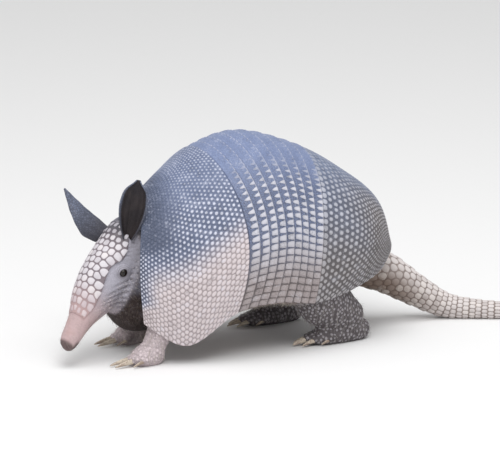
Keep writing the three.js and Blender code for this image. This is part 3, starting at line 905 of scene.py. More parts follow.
# %% The head shield's base and scutes
HEAD_HORN = Finish("head_horn", {"Specular IOR Level": 0.35})
core, tone, far = map(HEAD_HORN.marking, ("core", "tone", "ahead"))
fine = HEAD_HORN.noise(HEAD_HORN.place(), 700.0, 4.0, 0.6)
blotch = HEAD_HORN.noise(HEAD_HORN.place(), 120.0, 3.0)
seam = HEAD_HORN.mix(far.rise(0.3, 0.0), (0.2, 0.165, 0.185), (0.085, 0.08, 0.095))
seam = HEAD_HORN.mix(far.rise(0.6, 1.0), seam, (0.52, 0.36, 0.36))
face = HEAD_HORN.mix(far.rise(0.6, 1.0), (0.68, 0.65, 0.69), (0.62, 0.49, 0.51))
face = HEAD_HORN.mix((fine - 0.3) * 0.7, face, (0.5, 0.45, 0.48))
face = HEAD_HORN.mix(far.rise(0.24, 0.0) * 0.6, face, (0.27, 0.265, 0.31))
horn = HEAD_HORN.mix(core.rise(0.0, 0.8), seam, face)
shade = (tone - 0.5) * 0.7 + (blotch - 0.5) * 0.9
HEAD_HORN.mottle(horn, shade, 0.6, (0.84, 0.78, 0.77), 0.5, (0.34, 0.3, 0.33), 0.45)
HEAD_HORN.into("Roughness", 0.42 + fine * 0.2)
HEAD_HORN.bump(fine, 0.00015)


def shield_grid(along, across):
    ahead = blend(SHIELD_FROM, SHIELD_TO, along)
    return brow(head_station(ahead), (2 * across - 1) * shield_span(ahead))


bm, flat = bent_grid(*BASE_GRID, shield_grid)
bare = np.zeros(len(flat))
markings = {"core": bare, "tone": bare + 0.5, "ahead": flat[:, 1]}
mesh = as_mesh(bm, "head_shield")
base = dress(mesh, "head_shield_base", HEAD_HORN, markings, ("head_shield",))
thicken(base, BASE_THICK)

HEAD_ROW = 6.7
HEAD_COLUMN = 6.6
HEAD_JITTER = 0.45
HEAD_REACH = 4.4  # how far a scute may go ahead and behind
HEAD_SEAM = 0.34
HEAD_SIDES = 14
centres = []
for row, ahead in enumerate(np.arange(SHIELD_FROM + 2.2, SHIELD_TO - 1.5, HEAD_ROW)):
    station = head_station(ahead)
    half = through(HEAD, station)[3] + SHIELD_TOP
    reach = shield_span(ahead) * half
    step = HEAD_COLUMN * blend(1.0, 0.78, smooth(55, 90, ahead))
    places = np.arange(-6, 7) * step + (row % 2) * step / 2
    places = places[np.abs(places) < reach - 1.6]
    centres.append(np.stack((np.full(len(places), station), -places / half), -1))
centres = np.concatenate(centres)
size = stretch(brow, *centres.T)
centres += chance.normal(0, HEAD_JITTER, centres.shape) / size
span = shield_span(through(HEAD, centres[:, 0])[:, 0])
side = np.stack((span - centres[:, 1], span + centres[:, 1])) * size[:, 1]
limits = np.concatenate((np.maximum(side, LEAST), np.full((2, len(centres)), HEAD_REACH))).T
ways = (0.0, math.pi, math.pi / 2, -math.pi / 2)
facing, reach = limited(halfway(centres, size), ways, limits)
ahead = through(HEAD, centres[:, 0])[:, 0]
crowded = 1 - smooth(4, 26, ahead)
edge = outlines(facing, reach, HEAD_SIDES) * blend(1.0, 0.72, crowded)[:, None] - HEAD_SEAM
sunken = 1 - 0.3 * smooth(78, 92, ahead)
edge = np.maximum(edge * sunken[:, None], 0.3)
points, faces, flat, core, tone = scutes(brow, centres, size, edge, 0.9, 0.3, 0.26)
shares = (through(HEAD, flat[0])[:, 0] - SHIELD_FROM) / (SHIELD_TO - SHIELD_FROM)
markings = {"core": np.maximum(core, 0.35), "tone": tone, "ahead": shares}
first = head_station(SHIELD_FROM - 6)
last = head_station(SHIELD_TO + 4)
where = chart(*flat, first, last, 1.6)
shield = shown("head_scutes", points, faces, HEAD_HORN, markings, where)
print(len(centres), "scutes,", triangles(shield), "triangles")

# %% [markdown]
# ## The tail
#
# A tail of twelve bony rings, each overlapping the next by a low step, runs out into a
# scaled tip that lies on the floor. The core is one tube, made by bending a grid round the
# tail's line, with a row of faces on either side of every step. Its tip closes to a point
# and its root is capped, so no hole is left. The scutes come from the same maker as the
# shell's, going round.

# %% The tail's core and scutes
TAIL = np.array((
    # x, y, z and radius
    (0, 122, 64, 21.5),
    (2, 158, 49, 19),
    (6, 190, 29, 15),
    (16, 218, 12.8, 11.6),
    (31, 242, 9, 9.2),
    (46, 266, 7.8, 8),
    (56, 294, 6.6, 6.8),
    (58, 324, 5.4, 5.6),
    (50, 354, 4, 4.2),
    (38, 382, 2.4, 2.4),
), float)
TAIL_LAST = len(TAIL) - 1
TAIL_RINGS = 12
TAIL_RINGED = 0.57
RING_STEP = TAIL_RINGED / TAIL_RINGS
RING_LIP = 0.9
TIP_POINT = 6


def ringing(share):
    """How far a ring stands out: nothing at its front, a lip at its rear edge."""
    return np.where(share < TAIL_RINGED, RING_LIP * (share / RING_STEP % 1.0), 0.0)


def tail_round(share, around, inset=0.35):
    """A point of the tail: share of its line, and minus the angle round it."""
    at = np.clip(share, 0, 1) * TAIL_LAST
    centre = through(TAIL[:, :3], at)
    direction = heading(TAIL[:, :3], at)
    across = unit(direction[..., [1, 0, 2]] * (1, -1, 0))
    up = np.cross(across, direction)
    past = np.clip((share - TAIL_RINGED) / (1 - TAIL_RINGED), 0, 1)
    taper = np.sqrt(np.maximum(1 - past**TIP_POINT, 0))
    radius = (through(TAIL[:, 3], at) + ringing(np.asarray(share)) - inset) * taper
    angle = -np.asarray(around)
    point = centre + across * (radius * np.cos(angle))[..., None]
    point = point + up * (radius * np.sin(angle))[..., None]
    point[..., 2] = np.maximum(point[..., 2], 0.0)
    return point


TAIL_HORN = Finish("tail_horn", {"Specular IOR Level": 0.35})
core, tone, under = map(TAIL_HORN.marking, ("core", "tone", "under"))
fine = TAIL_HORN.noise(TAIL_HORN.place(), 650.0, 4.0, 0.6)
blotch = TAIL_HORN.noise(TAIL_HORN.place(), 90.0, 3.0)
# Painted shade turns the seams and faces dark brown on the underside near the root.
seam = TAIL_HORN.mix(under, (0.3, 0.25, 0.23), (0.13, 0.085, 0.065))
face = TAIL_HORN.mix(under, (0.68, 0.63, 0.62), (0.19, 0.135, 0.105))
horn = TAIL_HORN.mix(core.rise(0.0, 0.8), seam, face)
shade = (tone - 0.5) * 0.9 + (blotch - 0.5) * 1.1 + (fine - 0.5) * 0.5
TAIL_HORN.mottle(horn, shade, 0.7, (0.76, 0.7, 0.66), 0.5, (0.24, 0.19, 0.17), 0.5)
TAIL_HORN.into("Roughness", 0.45 + fine * 0.2)
TAIL_HORN.bump(fine, 0.0002)


def painted_tail_shade(points, share):
    """Painted shade, dark brown: 1 on the underside near the root, fading towards the floor and the
    top.
    """
    centre = through(TAIL[:, :3], np.clip(share, 0, 1) * TAIL_LAST)
    radius = through(TAIL[:, 3], np.clip(share, 0, 1) * TAIL_LAST)
    below = smooth(0.75, -0.45, (points[:, 2] - centre[:, 2]) / radius)
    return below * smooth(0.42, 0.1, share)


rows = []
for number in range(TAIL_RINGS):
    rows.extend((number + part) * RING_STEP for part in (0.01, 0.3, 0.6, 0.9, 0.99))
rows.extend(np.linspace(TAIL_RINGED + 0.003, 1.0, 50))
rows = np.array(rows)
TAIL_SIDES = 40


def tail_grid(along, across):
    row = np.rint(along * (len(rows) - 1)).astype(int)
    return tail_round(rows[row], across * TURN)


bm, flat = bent_grid(TAIL_SIDES, len(rows) - 1, tail_grid)
bmesh.ops.remove_doubles(bm, verts=bm.verts, dist=0.00002)
bmesh.ops.holes_fill(bm, edges=bm.edges)
bmesh.ops.recalc_face_normals(bm, faces=bm.faces)
core_points = places_of(bm.verts)
mesh = as_mesh(bm, "tail")
shares = (core_points[:, 1] - TAIL[0, 1]) / (TAIL[-1, 1] - TAIL[0, 1])
bare = np.zeros(len(core_points))
markings = {"core": bare, "tone": bare + 0.5, "under": painted_tail_shade(core_points, shares)}
tail_nodes = [f"tail_ring_{n + 1:02d}" for n in range(TAIL_RINGS)] + ["tail_tip"]
dress(mesh, "tail_core", TAIL_HORN, markings, tail_nodes)

TAIL_SCUTE_SIDES = 12
TAIL_ROUNDING = 14.0
SCUTED_TO = 0.985  # share of the tail where the last row of scutes starts
centres, half_rows, open_to = [], [], []
share = 0.0
row = 0
while share < SCUTED_TO:
    radius = through(TAIL[:, 3], share * TAIL_LAST)
    ringed = share < TAIL_RINGED - 0.001
    step = RING_STEP / 2 if ringed else max(radius * 0.0024, 0.0085)
    count = max(int(round(TURN * radius / max(radius * 0.42, 2.6))), 6)
    places = TURN * (np.arange(count) + (row % 2) / 2) / count
    centres.append(np.stack((np.full(count, share + step / 2), places), -1))
    half_rows.append(np.full(count, step / 2))
    ends = ((1.6, 1.0), (1.0, 1.6))[row % 2] if ringed else (1.6, 1.6)
    open_to.append(np.tile(ends, (count, 1)))
    share += step
    row += 1
centres = np.concatenate(centres)
half_row = np.concatenate(half_rows)
size = stretch(lambda along, around: tail_round(along, around, 0.0), *centres.T)
size[:, 1] = np.maximum(size[:, 1], 1.0)
long = np.linalg.norm(np.diff(tail_round(np.array([[0.3], [0.31]]), 0.0)[:, 0], axis=0)) / 0.01
size[:, 0] = long
limits = (half_row * size[:, 0])[:, None] * np.concatenate(open_to)
around = limited(halfway(centres, size, TURN), (math.pi / 2, -math.pi / 2), limits)
edge = outlines(*around, TAIL_SCUTE_SIDES, TAIL_ROUNDING)
radius = through(TAIL[:, 3], centres[:, 0] * TAIL_LAST)
edge = np.maximum(edge - blend(0.1, 0.2, smooth(3, 14, radius))[:, None], 0.25)
raised = blend(0.12, 0.34, smooth(3, 14, radius))
points, faces, flat, core, tone = scutes(tail_round, centres, size, edge, 0.9, raised, raised * 1.1)
points[:, 2] = np.maximum(points[:, 2], 0.0)
under = painted_tail_shade(points, flat[0])
markings = {"core": np.maximum(core, 0.3), "tone": tone, "under": under}
where = np.stack((0.02 + 0.94 * (flat[1] + 0.4) / (TURN + 0.8), 0.01 + 0.98 * flat[0]), -1)
scaled = shown("tail_scutes", points, faces, TAIL_HORN, markings, where)
print(len(centres), "scutes,", triangles(scaled), "triangles")

# %% [markdown]
# ## Flesh, blocked in
#
# Under the shell is a soft body: trunk, neck, head, legs and feet. They are blocked in as
# round-ended skins, each a sphere whose points a formula moves into place, at the same
# sizes as the frame's solids. They overlap freely here. The next step melts them together.

# %% Block in the body
ROUND_HEAD = 0.08
NOSE_PUSH = 4.0
PLATE_DEPTH = 4.6  # from the shell's face down to the trunk's skin
TOP_SHARE = 0.7
TRUNK_FROM = 0.75
TRUNK_TO = 6.85


def round_end(share, close_by):
    """How large a section is near a body's ends."""
    end = np.minimum(share, 1 - share) / close_by
    return np.where(end < 1, np.sqrt(np.maximum(1 - (1 - end) ** 2, 0)), 1.0)[..., None]


def blob(bm, rows, sides, surface):
    """A sphere moved onto a surface: share from end to end, and the angle round it."""
    made = bmesh.ops.create_uvsphere(bm, u_segments=sides, v_segments=rows, radius=1)
    ball = np.array([vert.co for vert in made["verts"]])
    share = np.arccos(np.clip(-ball[:, 2], -1, 1)) / math.pi
    around = np.arctan2(ball[:, 1], ball[:, 0]) % TURN
    move(made["verts"], surface(share, around))


def trunk_round(share, around):
    at = blend(TRUNK_FROM, TRUNK_TO, share)
    turn = around / TURN
    top = lifted(carapace, at, 2 * np.minimum(turn, TOP_SHARE) / TOP_SHARE - 1, -PLATE_DEPTH)
    left = lifted(carapace, at, np.ones_like(at), -PLATE_DEPTH)
    right = lifted(carapace, at, -np.ones_like(at), -PLATE_DEPTH)
    under = np.clip((turn - TOP_SHARE) / (1 - TOP_SHARE), 0, 1)
    across = ((1 - np.cos(math.pi * under)) / 2)[..., None]
    belly = blend(left, right, across)
    belly[..., 2] = blend(left[..., 2], through(BELLY, at), np.sin(math.pi * under))
    point = np.where((turn < TOP_SHARE)[..., None], top, belly)
    middle = (carapace(at, np.zeros_like(at)) + carapace(at, np.ones_like(at))) / 2
    middle[..., 0] = 0
    return middle + (point - middle) * round_end(share, 0.12)


def head_round(share, around):
    at = share * HEAD_LAST
    middle = (head_local(at, at * 0) + head_local(at, at * 0 + math.pi)) / 2
    point = middle + (head_local(at, around) - middle) * round_end(share, ROUND_HEAD)
    point[..., 1] -= NOSE_PUSH * np.maximum(1 - (1 - share) / ROUND_HEAD, 0)
    return from_head(point)


def limb(links, close_by):
    """A chain of ellipses: rows of x, y, z and the half-widths across and deep."""
    links = np.array(links, float)
    last = len(links) - 1

    def surface(share, around):
        at = share * last
        direction = heading(links[:, :3], at)
        sideways = unit(np.array((1.0, 0, 0)) - direction * direction[..., :1])
        deep = np.cross(direction, sideways)
        half = through(links[:, 3:], at) * round_end(share, close_by)
        point = through(links[:, :3], at) + sideways * (half[..., 0] * np.cos(around))[..., None]
        return point + deep * (half[..., 1] * np.sin(around))[..., None]

    return surface


NECK = (
    (0, -80, 84, 46, 57),
    (0, -105, 80, 44, 56),
    (1, -122, 76, 36, 53),
    (3, -140, 78, 22, 30),
)
FRONT_LEG = (
    (38, -88, 70, 17, 22),
    (41, -100, 48, 14, 17),
    (42, -112, 27, 10.5, 12.5),
    (42, -119, 13, 10, 11),
)
HIND_LEG = (
    (46, 62, 76, 22, 30),
    (52, 58, 46, 19, 27),
    (52, 80, 30, 14, 20),
    (50, 100, 18, 11.5, 13),
)
# A foot: heel x and y, length, half-width at the heel and at the toes, and height. A toe:
# its side of the foot, how far it reaches ahead, its radius, and its claw's length and
# thickness.
FEET = {
    "front": ((42, -107), 32, (10, 13), 28),
    "hind": ((50, 112), 66, (11, 14.5), 24),
}
TOES = {
    "front": (
        (-0.95, -3, 3.4, 9, 2),
        (-0.34, 5, 4.3, 18, 3),
        (0.34, 5, 4.3, 17, 3),
        (0.98, -2, 3.4, 9, 2),
    ),
    "hind": (
        (-1, -13, 3.4, 7, 2),
        (-0.6, 1, 4, 11, 2.6),
        (0, 5, 4.6, 13, 3),
        (0.6, 1, 4, 11, 2.6),
        (1, -13, 3.4, 7, 2),
    ),
}
LEGS = {"front": FRONT_LEG, "hind": HIND_LEG}
STEPS = {("front", 1): 0, ("front", -1): 28, ("hind", 1): 0, ("hind", -1): -14}
SIDES = {"left": 1, "right": -1}
TOE_HEIGHT = 4.6
TOE_SPREAD = 1.15


def toe_point(which, toe, side, back, spread, height):
    """A point of a toe: back is the distance behind its tip."""
    (x, y), length, half, _ = FEET[which]
    across = side * (x + toe[0] * half[1] * 0.72 * spread)
    return (across, y + STEPS[which, side] - length - toe[1] + back, height)


def sole(which, side):
    (x, y), length, half, height = FEET[which]

    def surface(share, around):
        along = (1 - np.cos(math.pi * share)) / 2
        wide = blend(half[0], half[1], np.sin(math.pi / 2 * along))
        full = np.maximum(np.sin(math.pi * share), 0) ** 0.55
        rise = height * blend(1, 0.58, along) * (0.42 + 0.58 * full * np.sin(around))
        forward = y + STEPS[which, side] - length * along
        return np.stack((side * (x + wide * full * np.cos(around)), forward, rise), -1)

    return surface


bm = bmesh.new()
blob(bm, 90, 120, trunk_round)
blob(bm, 90, 72, head_round)
blob(bm, 40, 60, limb(NECK, 0.12))
for which, chain in LEGS.items():
    for side in SIDES.values():
        moved = np.array(chain, float)
        moved[:, 0] *= side
        moved[:, 1] += STEPS[which, side] * np.arange(4) / 3
        blob(bm, 36, 36, limb(moved, 0.12))
        blob(bm, 36, 32, sole(which, side))
        for toe in TOES[which]:
            root = (*toe_point(which, toe, side, 12, 1, TOE_HEIGHT + 2), toe[2], toe[2])
            knuckle = (*toe_point(which, toe, side, 5, 1.1, TOE_HEIGHT + 2.2), toe[2], toe[2])
            tip = (*toe_point(which, toe, side, 0, TOE_SPREAD, TOE_HEIGHT), toe[2] * 0.9, toe[2] * 0.85)
            blob(bm, 14, 16, limb((root, knuckle, tip), 0.3))
blocked = as_mesh(bm, "blocked")
print("blocked in with", len(blocked.polygons), "faces")

# %% [markdown]
# ## One skin
#
# A voxel remesh turns all the overlapping blocks into a single closed skin, with no seam
# where a leg meets the belly, and a little smoothing melts the joins as flesh does. The
# remesh has one face size everywhere, so the head and feet, which need more, are cut finer
# afterwards, and the lids and the end of the snout finer again.

# %% Melt it into one skin
VOXEL = 2.3
MELTS = 5
LIDS_FINE = 11  # how far from the eye the skin is cut twice, and then a third time
LIDS_FINEST = 8
NOSE_FINE = 112
EYE_RADIUS = 4.4
EYE_PLACE = np.array((20.9, -35.6, -20.3))
working = in_scene("working", blocked)
remesh = working.modifiers.new("remesh", "REMESH")
remesh.mode = "VOXEL"
remesh.voxel_size = VOXEL * MM
melt = working.modifiers.new("melt", "SMOOTH")
melt.factor = 0.5
melt.iterations = MELTS
ready = bpy.context.evaluated_depsgraph_get()
flesh = bpy.data.meshes.new_from_object(working.evaluated_get(ready))
bpy.data.objects.remove(working)


def finer(bm, wanted):
    """Cuts the faces whose middles are wanted into four."""
    middles = to_mm([face.calc_center_median() for face in bm.faces])
    faces = [face for face, take in zip(bm.faces, wanted(middles)) if take]
    edges = list({edge for face in faces for edge in face.edges})
    bmesh.ops.subdivide_edges(bm, edges=edges, cuts=1, use_grid_fill=True)
    soft = [vert for vert, take in zip(bm.verts, wanted(places_of(bm.verts))) if take]
    axes = {"use_axis_x": True, "use_axis_y": True, "use_axis_z": True}
    bmesh.ops.smooth_vert(bm, verts=soft, factor=0.5, **axes)


def on_head(points):
    local = to_head(points)
    return (-local[:, 1] > 2) & (local[:, 2] > -62) & (points[:, 1] < -133)


def on_feet(points):
    return (points[:, 2] < 15) & (points[:, 2] > 0.8) & ((points[:, 1] < -70) | (points[:, 1] > 20))


def eye_distance(points):
    local = to_head(points)
    local[:, 0] = np.abs(local[:, 0])
    return np.linalg.norm(local - EYE_PLACE, axis=1)


bm = bmesh.new()
bm.from_mesh(flesh)
finer(bm, lambda points: on_head(points) | on_feet(points))
finer(bm, lambda points: (eye_distance(points) < LIDS_FINE) | (to_head(points)[:, 1] < -NOSE_FINE))
finer(bm, lambda points: eye_distance(points) < LIDS_FINEST)
bm.normal_update()
skin_points = places_of(bm.verts)
skin_normals = np.array([vert.normal for vert in bm.verts])
print("one skin with", len(bm.faces), "faces")

# %% [markdown]
# ## Lids, folds, mouth and toes
#
# Wrinkles are where a hide shows its age, and they follow the way it moves: rings round
# the eye, slanting folds on the cheek, upright folds on the neck and round the ear roots,
# and creases over the toes. Each is a wave of ridges with narrow valleys, masked to its
# place and pushed along the skin's own normals. The lids are the skin itself, pushed out
# over the eyeball and drawn in through the slit. How deep a point lies in a crease is
# kept as a marking, so that the finish can paint shade into the creases.

# %% Sculpt the skin
WANDER = 7.0  # millimetres over which a fold wavers


def ridges(place, spacing):
    """Broad ridges with narrow valleys: 1 on a ridge, 0 in a valley."""
    return np.abs(np.sin(math.pi * place / spacing)) ** 0.65


def wander(points):
    """A slow wavering, so that no fold runs straight."""
    x, y, z = (points / WANDER).T
    wave = np.sin(x + 1.7 * np.sin(0.8 * y + 1)) + np.sin(1.3 * y + 1.5 * np.sin(z))
    return wave + np.sin(1.1 * z + x)


def head_section(local):
    """The head's crown, jaw and half-width level with each place in its own frame."""
    station = head_station(np.clip(-local[:, 1], -18, 119.5))
    return through(HEAD, station).T[1:]


def off_head(local):
    """How far out of the head a place lies: 1 on its surface, more outside it."""
    crown, jaw, half = head_section(local)
    return np.hypot(local[:, 0] / half, (local[:, 2] - (crown + jaw) / 2) / ((crown - jaw) / 2))


local = to_head(skin_points)
mirrored = local.copy()
mirrored[:, 0] = np.abs(mirrored[:, 0])
ahead = -local[:, 1]
crown, jaw, half = head_section(local)
upwards = (local[:, 2] - (crown + jaw) / 2) / ((crown - jaw) / 2)
from_crown = np.degrees(np.arctan2(mirrored[:, 0] / half, upwards))
headed = smooth(1.5, 1.15, off_head(local)) * smooth(-2, 8, ahead)
push = np.zeros(len(skin_points))
painted_crease_shade = np.zeros(len(skin_points))


def wrinkle(mask, place, spacing, height):
    """Adds folds where the mask is, and marks their valleys for painted shade."""
    ridge = ridges(place, spacing)
    push[:] += mask * height * (ridge - 0.75)
    painted_crease_shade[:] = np.maximum(painted_crease_shade, mask * (1 - ridge) ** 1.2)


round_eye = np.linalg.norm(mirrored - EYE_PLACE, axis=1)
waver = wander(skin_points)
cheek = headed * smooth(72, 95, from_crown) * smooth(162, 140, from_crown)
cheek *= smooth(-4, 8, ahead) * smooth(84, 56, ahead) * smooth(7.5, 11, round_eye)
wrinkle(cheek, -0.5 * ahead + 0.86 * local[:, 2] + 0.6 * waver, 5.0, 2.2)
wrinkle(cheek * 0.6, 0.86 * ahead + 0.5 * local[:, 2] + 0.8 * waver, 3.6, 1.0)
lids = headed * smooth(10.5, 6.5, round_eye) * smooth(4.2, 5.4, round_eye)
wrinkle(lids, round_eye + 0.15 * waver, 1.7, 0.5)

x, y, z = skin_points.T
neck = smooth(-92, -104, y) * smooth(10, -4, ahead) * smooth(34, 46, z)
wrinkle(neck, y + 0.25 * z + 1.1 * waver, 5.6, 2.2)
wrinkle(neck * 0.4, z + 2.0 * waver, 5.0, 0.8)
for root in ((19, -131, 116.5), (-8, -135, 119)):
    from_root = np.linalg.norm(skin_points - np.array(root), axis=1)
    wrinkle(smooth(24, 14, from_root) * 0.9, from_root + 0.5 * waver, 3.6, 1.1)

muzzle = headed * smooth(86, 98, ahead)
wrinkle(muzzle * smooth(118, 108, ahead) * 0.12, ahead + 1.6 * waver, 3.4, 0.8)
lip = jaw + 0.24 * (crown - jaw) - 0.05 * (ahead - 60)
mouth = headed * smooth(56, 64, ahead) * bell(local[:, 2] - lip, 0.9)
push -= 1.1 * mouth
# Painted shade along the mouth.
painted_crease_shade = np.maximum(painted_crease_shade, mouth)
pad = bell(ahead - 113.5, 0.9) * headed * smooth(120, 60, from_crown)
push -= 0.12 * pad
# A little painted shade round the nose pad.
painted_crease_shade = np.maximum(painted_crease_shade, 0.08 * pad)

leg = smooth(62, 40, z) * smooth(3, 9, z)
leg *= np.maximum(smooth(-84, -92, y), smooth(24, 34, y))
leg *= smooth(20, 28, np.abs(x)) * (1 - headed)
wrinkle(leg * 0.6, z + 0.25 * y + 1.3 * waver, 4.4, 0.8)
toed = smooth(11, 7, z) * (z > 2)
wrinkle(toed * 0.6, y + 0.1 * waver, 2.6, 0.35)
belly = smooth(0.2, -0.5, skin_normals[:, 2]) * smooth(-96, -80, y)
wrinkle(belly * 0.5, y + 2.2 * waver, 7.0, 0.8)
carved = skin_points + skin_normals * push[:, None]

# The lids: raised over the eyeball all round it, and sunk behind its face in the slit.
LID_OUT = 0.7
SLIT_LONG = 3.7
SLIT_HIGH = 3.3
LID_CREASE = 5.4  # from the eye's centre out to the crease round the lid
LIDS_TO = 9.0
carved_head = to_head(carved)
sign = np.sign(carved_head[:, :1])
carved_head[:, 0] = np.abs(carved_head[:, 0])
gaze = unit(np.array((1.0, -0.42, 0.32)))
fore = unit(np.array((0.0, -1.0, 0.0)) + gaze * gaze[1])
over = np.cross(fore, gaze)
from_eye = carved_head - EYE_PLACE
out = from_eye @ gaze
slit = np.hypot(from_eye @ fore / SLIT_LONG, from_eye @ over / SLIT_HIGH)
off_centre = np.hypot(from_eye @ fore, from_eye @ over)
lid_ball = EYE_RADIUS + LID_OUT
lid = np.sqrt(lid_ball**2 - np.minimum(off_centre, 4.1) ** 2)
# Where the lid meets the ball its edge is a thicker roll, and a crease runs round it.
lid += 0.3 * bell(slit - 1.28, 0.14) - 0.35 * bell(off_centre - LID_CREASE, 0.5)
lid += 0.3 * bell(off_centre - 6.8, 0.7)
around_eye = smooth(LIDS_TO, 4.2, off_centre) * smooth(-6, -3, out)
covered = np.maximum(out, blend(out, lid, around_eye))
behind_face = np.sqrt(np.maximum(EYE_RADIUS**2 - off_centre**2, 0)) - 1.3
open_eye = smooth(1.1, 0.92, slit) * (out > -5)
raised = blend(covered, behind_face, open_eye)
carved_head += gaze * (raised - out)[:, None]
carved_head[:, 0] *= sign[:, 0]
near_eye = (off_centre < LIDS_TO) & (out > -6)
carved = np.where(near_eye[:, None], from_head(carved_head), carved)
# Painted shade along the slit and in the crease round the lid.
painted_crease_shade = np.maximum(painted_crease_shade, near_eye * smooth(1.5, 1.05, slit))
painted_crease_shade = np.maximum(painted_crease_shade, near_eye * 0.6 * bell(off_centre - LID_CREASE, 0.5))

# The nostrils: two dents in the nose pad, opening a little to the sides.
for side in SIDES.values():
    nostril = np.array((side * 4.3, -123.0, -28.0))
    dent = bell(np.linalg.norm(to_head(carved) - nostril, axis=1), 1.9)
    inwards = (np.array((side * -0.35, 1.0, 0.1)) @ HEAD_FRAME[:3, :3].T) * 2.6
    carved += dent[:, None] * inwards
    # Painted shade in the nostrils.
    painted_crease_shade = np.maximum(painted_crease_shade, smooth(0.3, 0.7, dent))
print("folds move the skin by up to", np.abs(push).max().round(2), "mm")

# %% [markdown]
# ## Keeping clear of the shell and the floor
#
# Skin that is wrinkled by formula may end up anywhere, so two last rules put it back: it
# stays inside the plates, found by asking a KD tree for the nearest point of the shell,
# and nothing goes below the floor, where the soles lie flat.

# %% Tuck the skin in
CLEAR_OF_PLATES = 3.9
UNDER_PLATES = 16  # farther from the shell than this, skin isn't under it
along, across = np.meshgrid(np.linspace(0, REAR, 141), np.linspace(-1, 1, 181), indexing="ij")
along, across = along.ravel(), across.ravel()
shell_points = carapace(along, across)
shell_out = lifted(carapace, along, across, np.ones_like(along)) - shell_points
tree = KDTree(len(shell_points))
for i, point in enumerate(shell_points):
    tree.insert(point, i)
tree.balance()
nearest = np.array([tree.find(point)[1] for point in carved])
depth = ((shell_points[nearest] - carved) * shell_out[nearest]).sum(axis=1)
within = (along[nearest] > 0.03) & (along[nearest] < REAR - 0.03)
within &= np.abs(across[nearest]) < 0.99
within &= np.linalg.norm(shell_points[nearest] - carved, axis=1) < UNDER_PLATES
tuck = np.where(within, np.maximum(CLEAR_OF_PLATES - depth, 0), 0)
carved -= shell_out[nearest] * tuck[:, None]
carved[:, 2] = np.maximum(carved[:, 2], 0.0)
move(bm.verts, carved)
print("tucked in", int((tuck > 0).sum()), "points of", len(tuck))

# %% [markdown]
# ## The ears
#
# An armadillo's ears are thin leather leaves, rolled into a tube at the root and open
# towards the tip, one pricked and one laid out to the side. A grid is curled by formula
# and then given its thickness with an operator. Each ear's mesh joins the skin's, so that
# both are one object under one finish, and its rolled root sits in the ring folds that
# were made round it.

# %% Curl the ears and join them
EARS = {
    # root, the way it points, the way its opening faces, length, widths from root to tip
    # when it is laid flat, and how far it bows to its side
    "left": (
        (19, -131, 116.5),
        (0.1, 0.14, 0.97),
        (0.8, -0.6, 0.05),
        57,
        (16, 23, 28, 30.5, 29, 22.5, 4),
        0,
    ),
    "right": (
        (-6.6, -134.3, 114.9),
        (-0.5, -0.54, 0.7),
        (-0.88, -0.1, -0.35),
        63,
        (27, 31.5, 32, 25, 17.5, 9.2, 1.2),
        -4.8,
    ),
}
EAR_THICK = 1.15
EAR_GRID = (30, 40)
EAR_CURL = (120, 38)  # degrees to each side, at the root and at the tip


def ear_frame(axis, facing):
    """Rows: across the ear, out of its opening, and along it."""
    long = unit(np.array(axis, float))
    out = np.array(facing, float)
    out = unit(out - long * (out @ long))
    return np.stack((np.cross(out, long), out, long))


def ear_leaf(which):
    root, axis, facing, long, widths, bow = EARS[which]
    frame_rows = ear_frame(axis, facing)

    def surface(along, across):
        side = 2 * across - 1
        curl = np.radians(blend(*EAR_CURL, np.sqrt(along)))
        wide = through(widths, along * (len(widths) - 1))
        radius = wide / (2 * curl) + EAR_THICK / 2
        angle = curl * side
        rib = 0.45 * np.cos(5 * math.pi * side) * np.sin(math.pi * np.clip(along * 1.1, 0, 1))
        roll = 1.1 * smooth(0.84, 1.0, np.abs(side)) * smooth(0.1, 0.3, along)
        ruffle = 0.35 * np.sin(along * 31 + 2 * side) * np.abs(side) ** 3
        y = radius * (1 - np.cos(angle)) + rib + roll + ruffle
        x = radius * np.sin(angle) + bow * np.sin(math.pi * along)
        flat = np.stack((x, y, long * along), -1)
        return flat @ frame_rows + np.array(root)

    return surface


skin_count = len(bm.verts)
ear_marks = []
for which in EARS:
    leaf, flat = bent_grid(*EAR_GRID, ear_leaf(which))
    bmesh.ops.solidify(leaf, geom=leaf.faces[:], thickness=EAR_THICK * MM)
    bmesh.ops.recalc_face_normals(leaf, faces=leaf.faces)
    upright = (places_of(leaf.verts) - np.array(EARS[which][0])) @ ear_frame(*EARS[which][1:3]).T
    half = len(flat)
    first_is_inner = upright[:half, 1].mean() > upright[half:, 1].mean()
    inner = np.repeat((1.0, 0.0) if first_is_inner else (0.0, 1.0), half)
    inner *= np.tile(smooth(0.97, 0.8, np.abs(2 * flat[:, 0] - 1)), 2)
    ear_marks.append(np.stack((inner, upright[:, 2] / EARS[which][3]), -1))
    mesh = as_mesh(leaf, "ear")
    bm.from_mesh(mesh)
    bpy.data.meshes.remove(mesh)
ear_marks = np.concatenate(ear_marks)
hide = as_mesh(bm, "hide")
print("two ears of", len(ear_marks) // 2, "points")
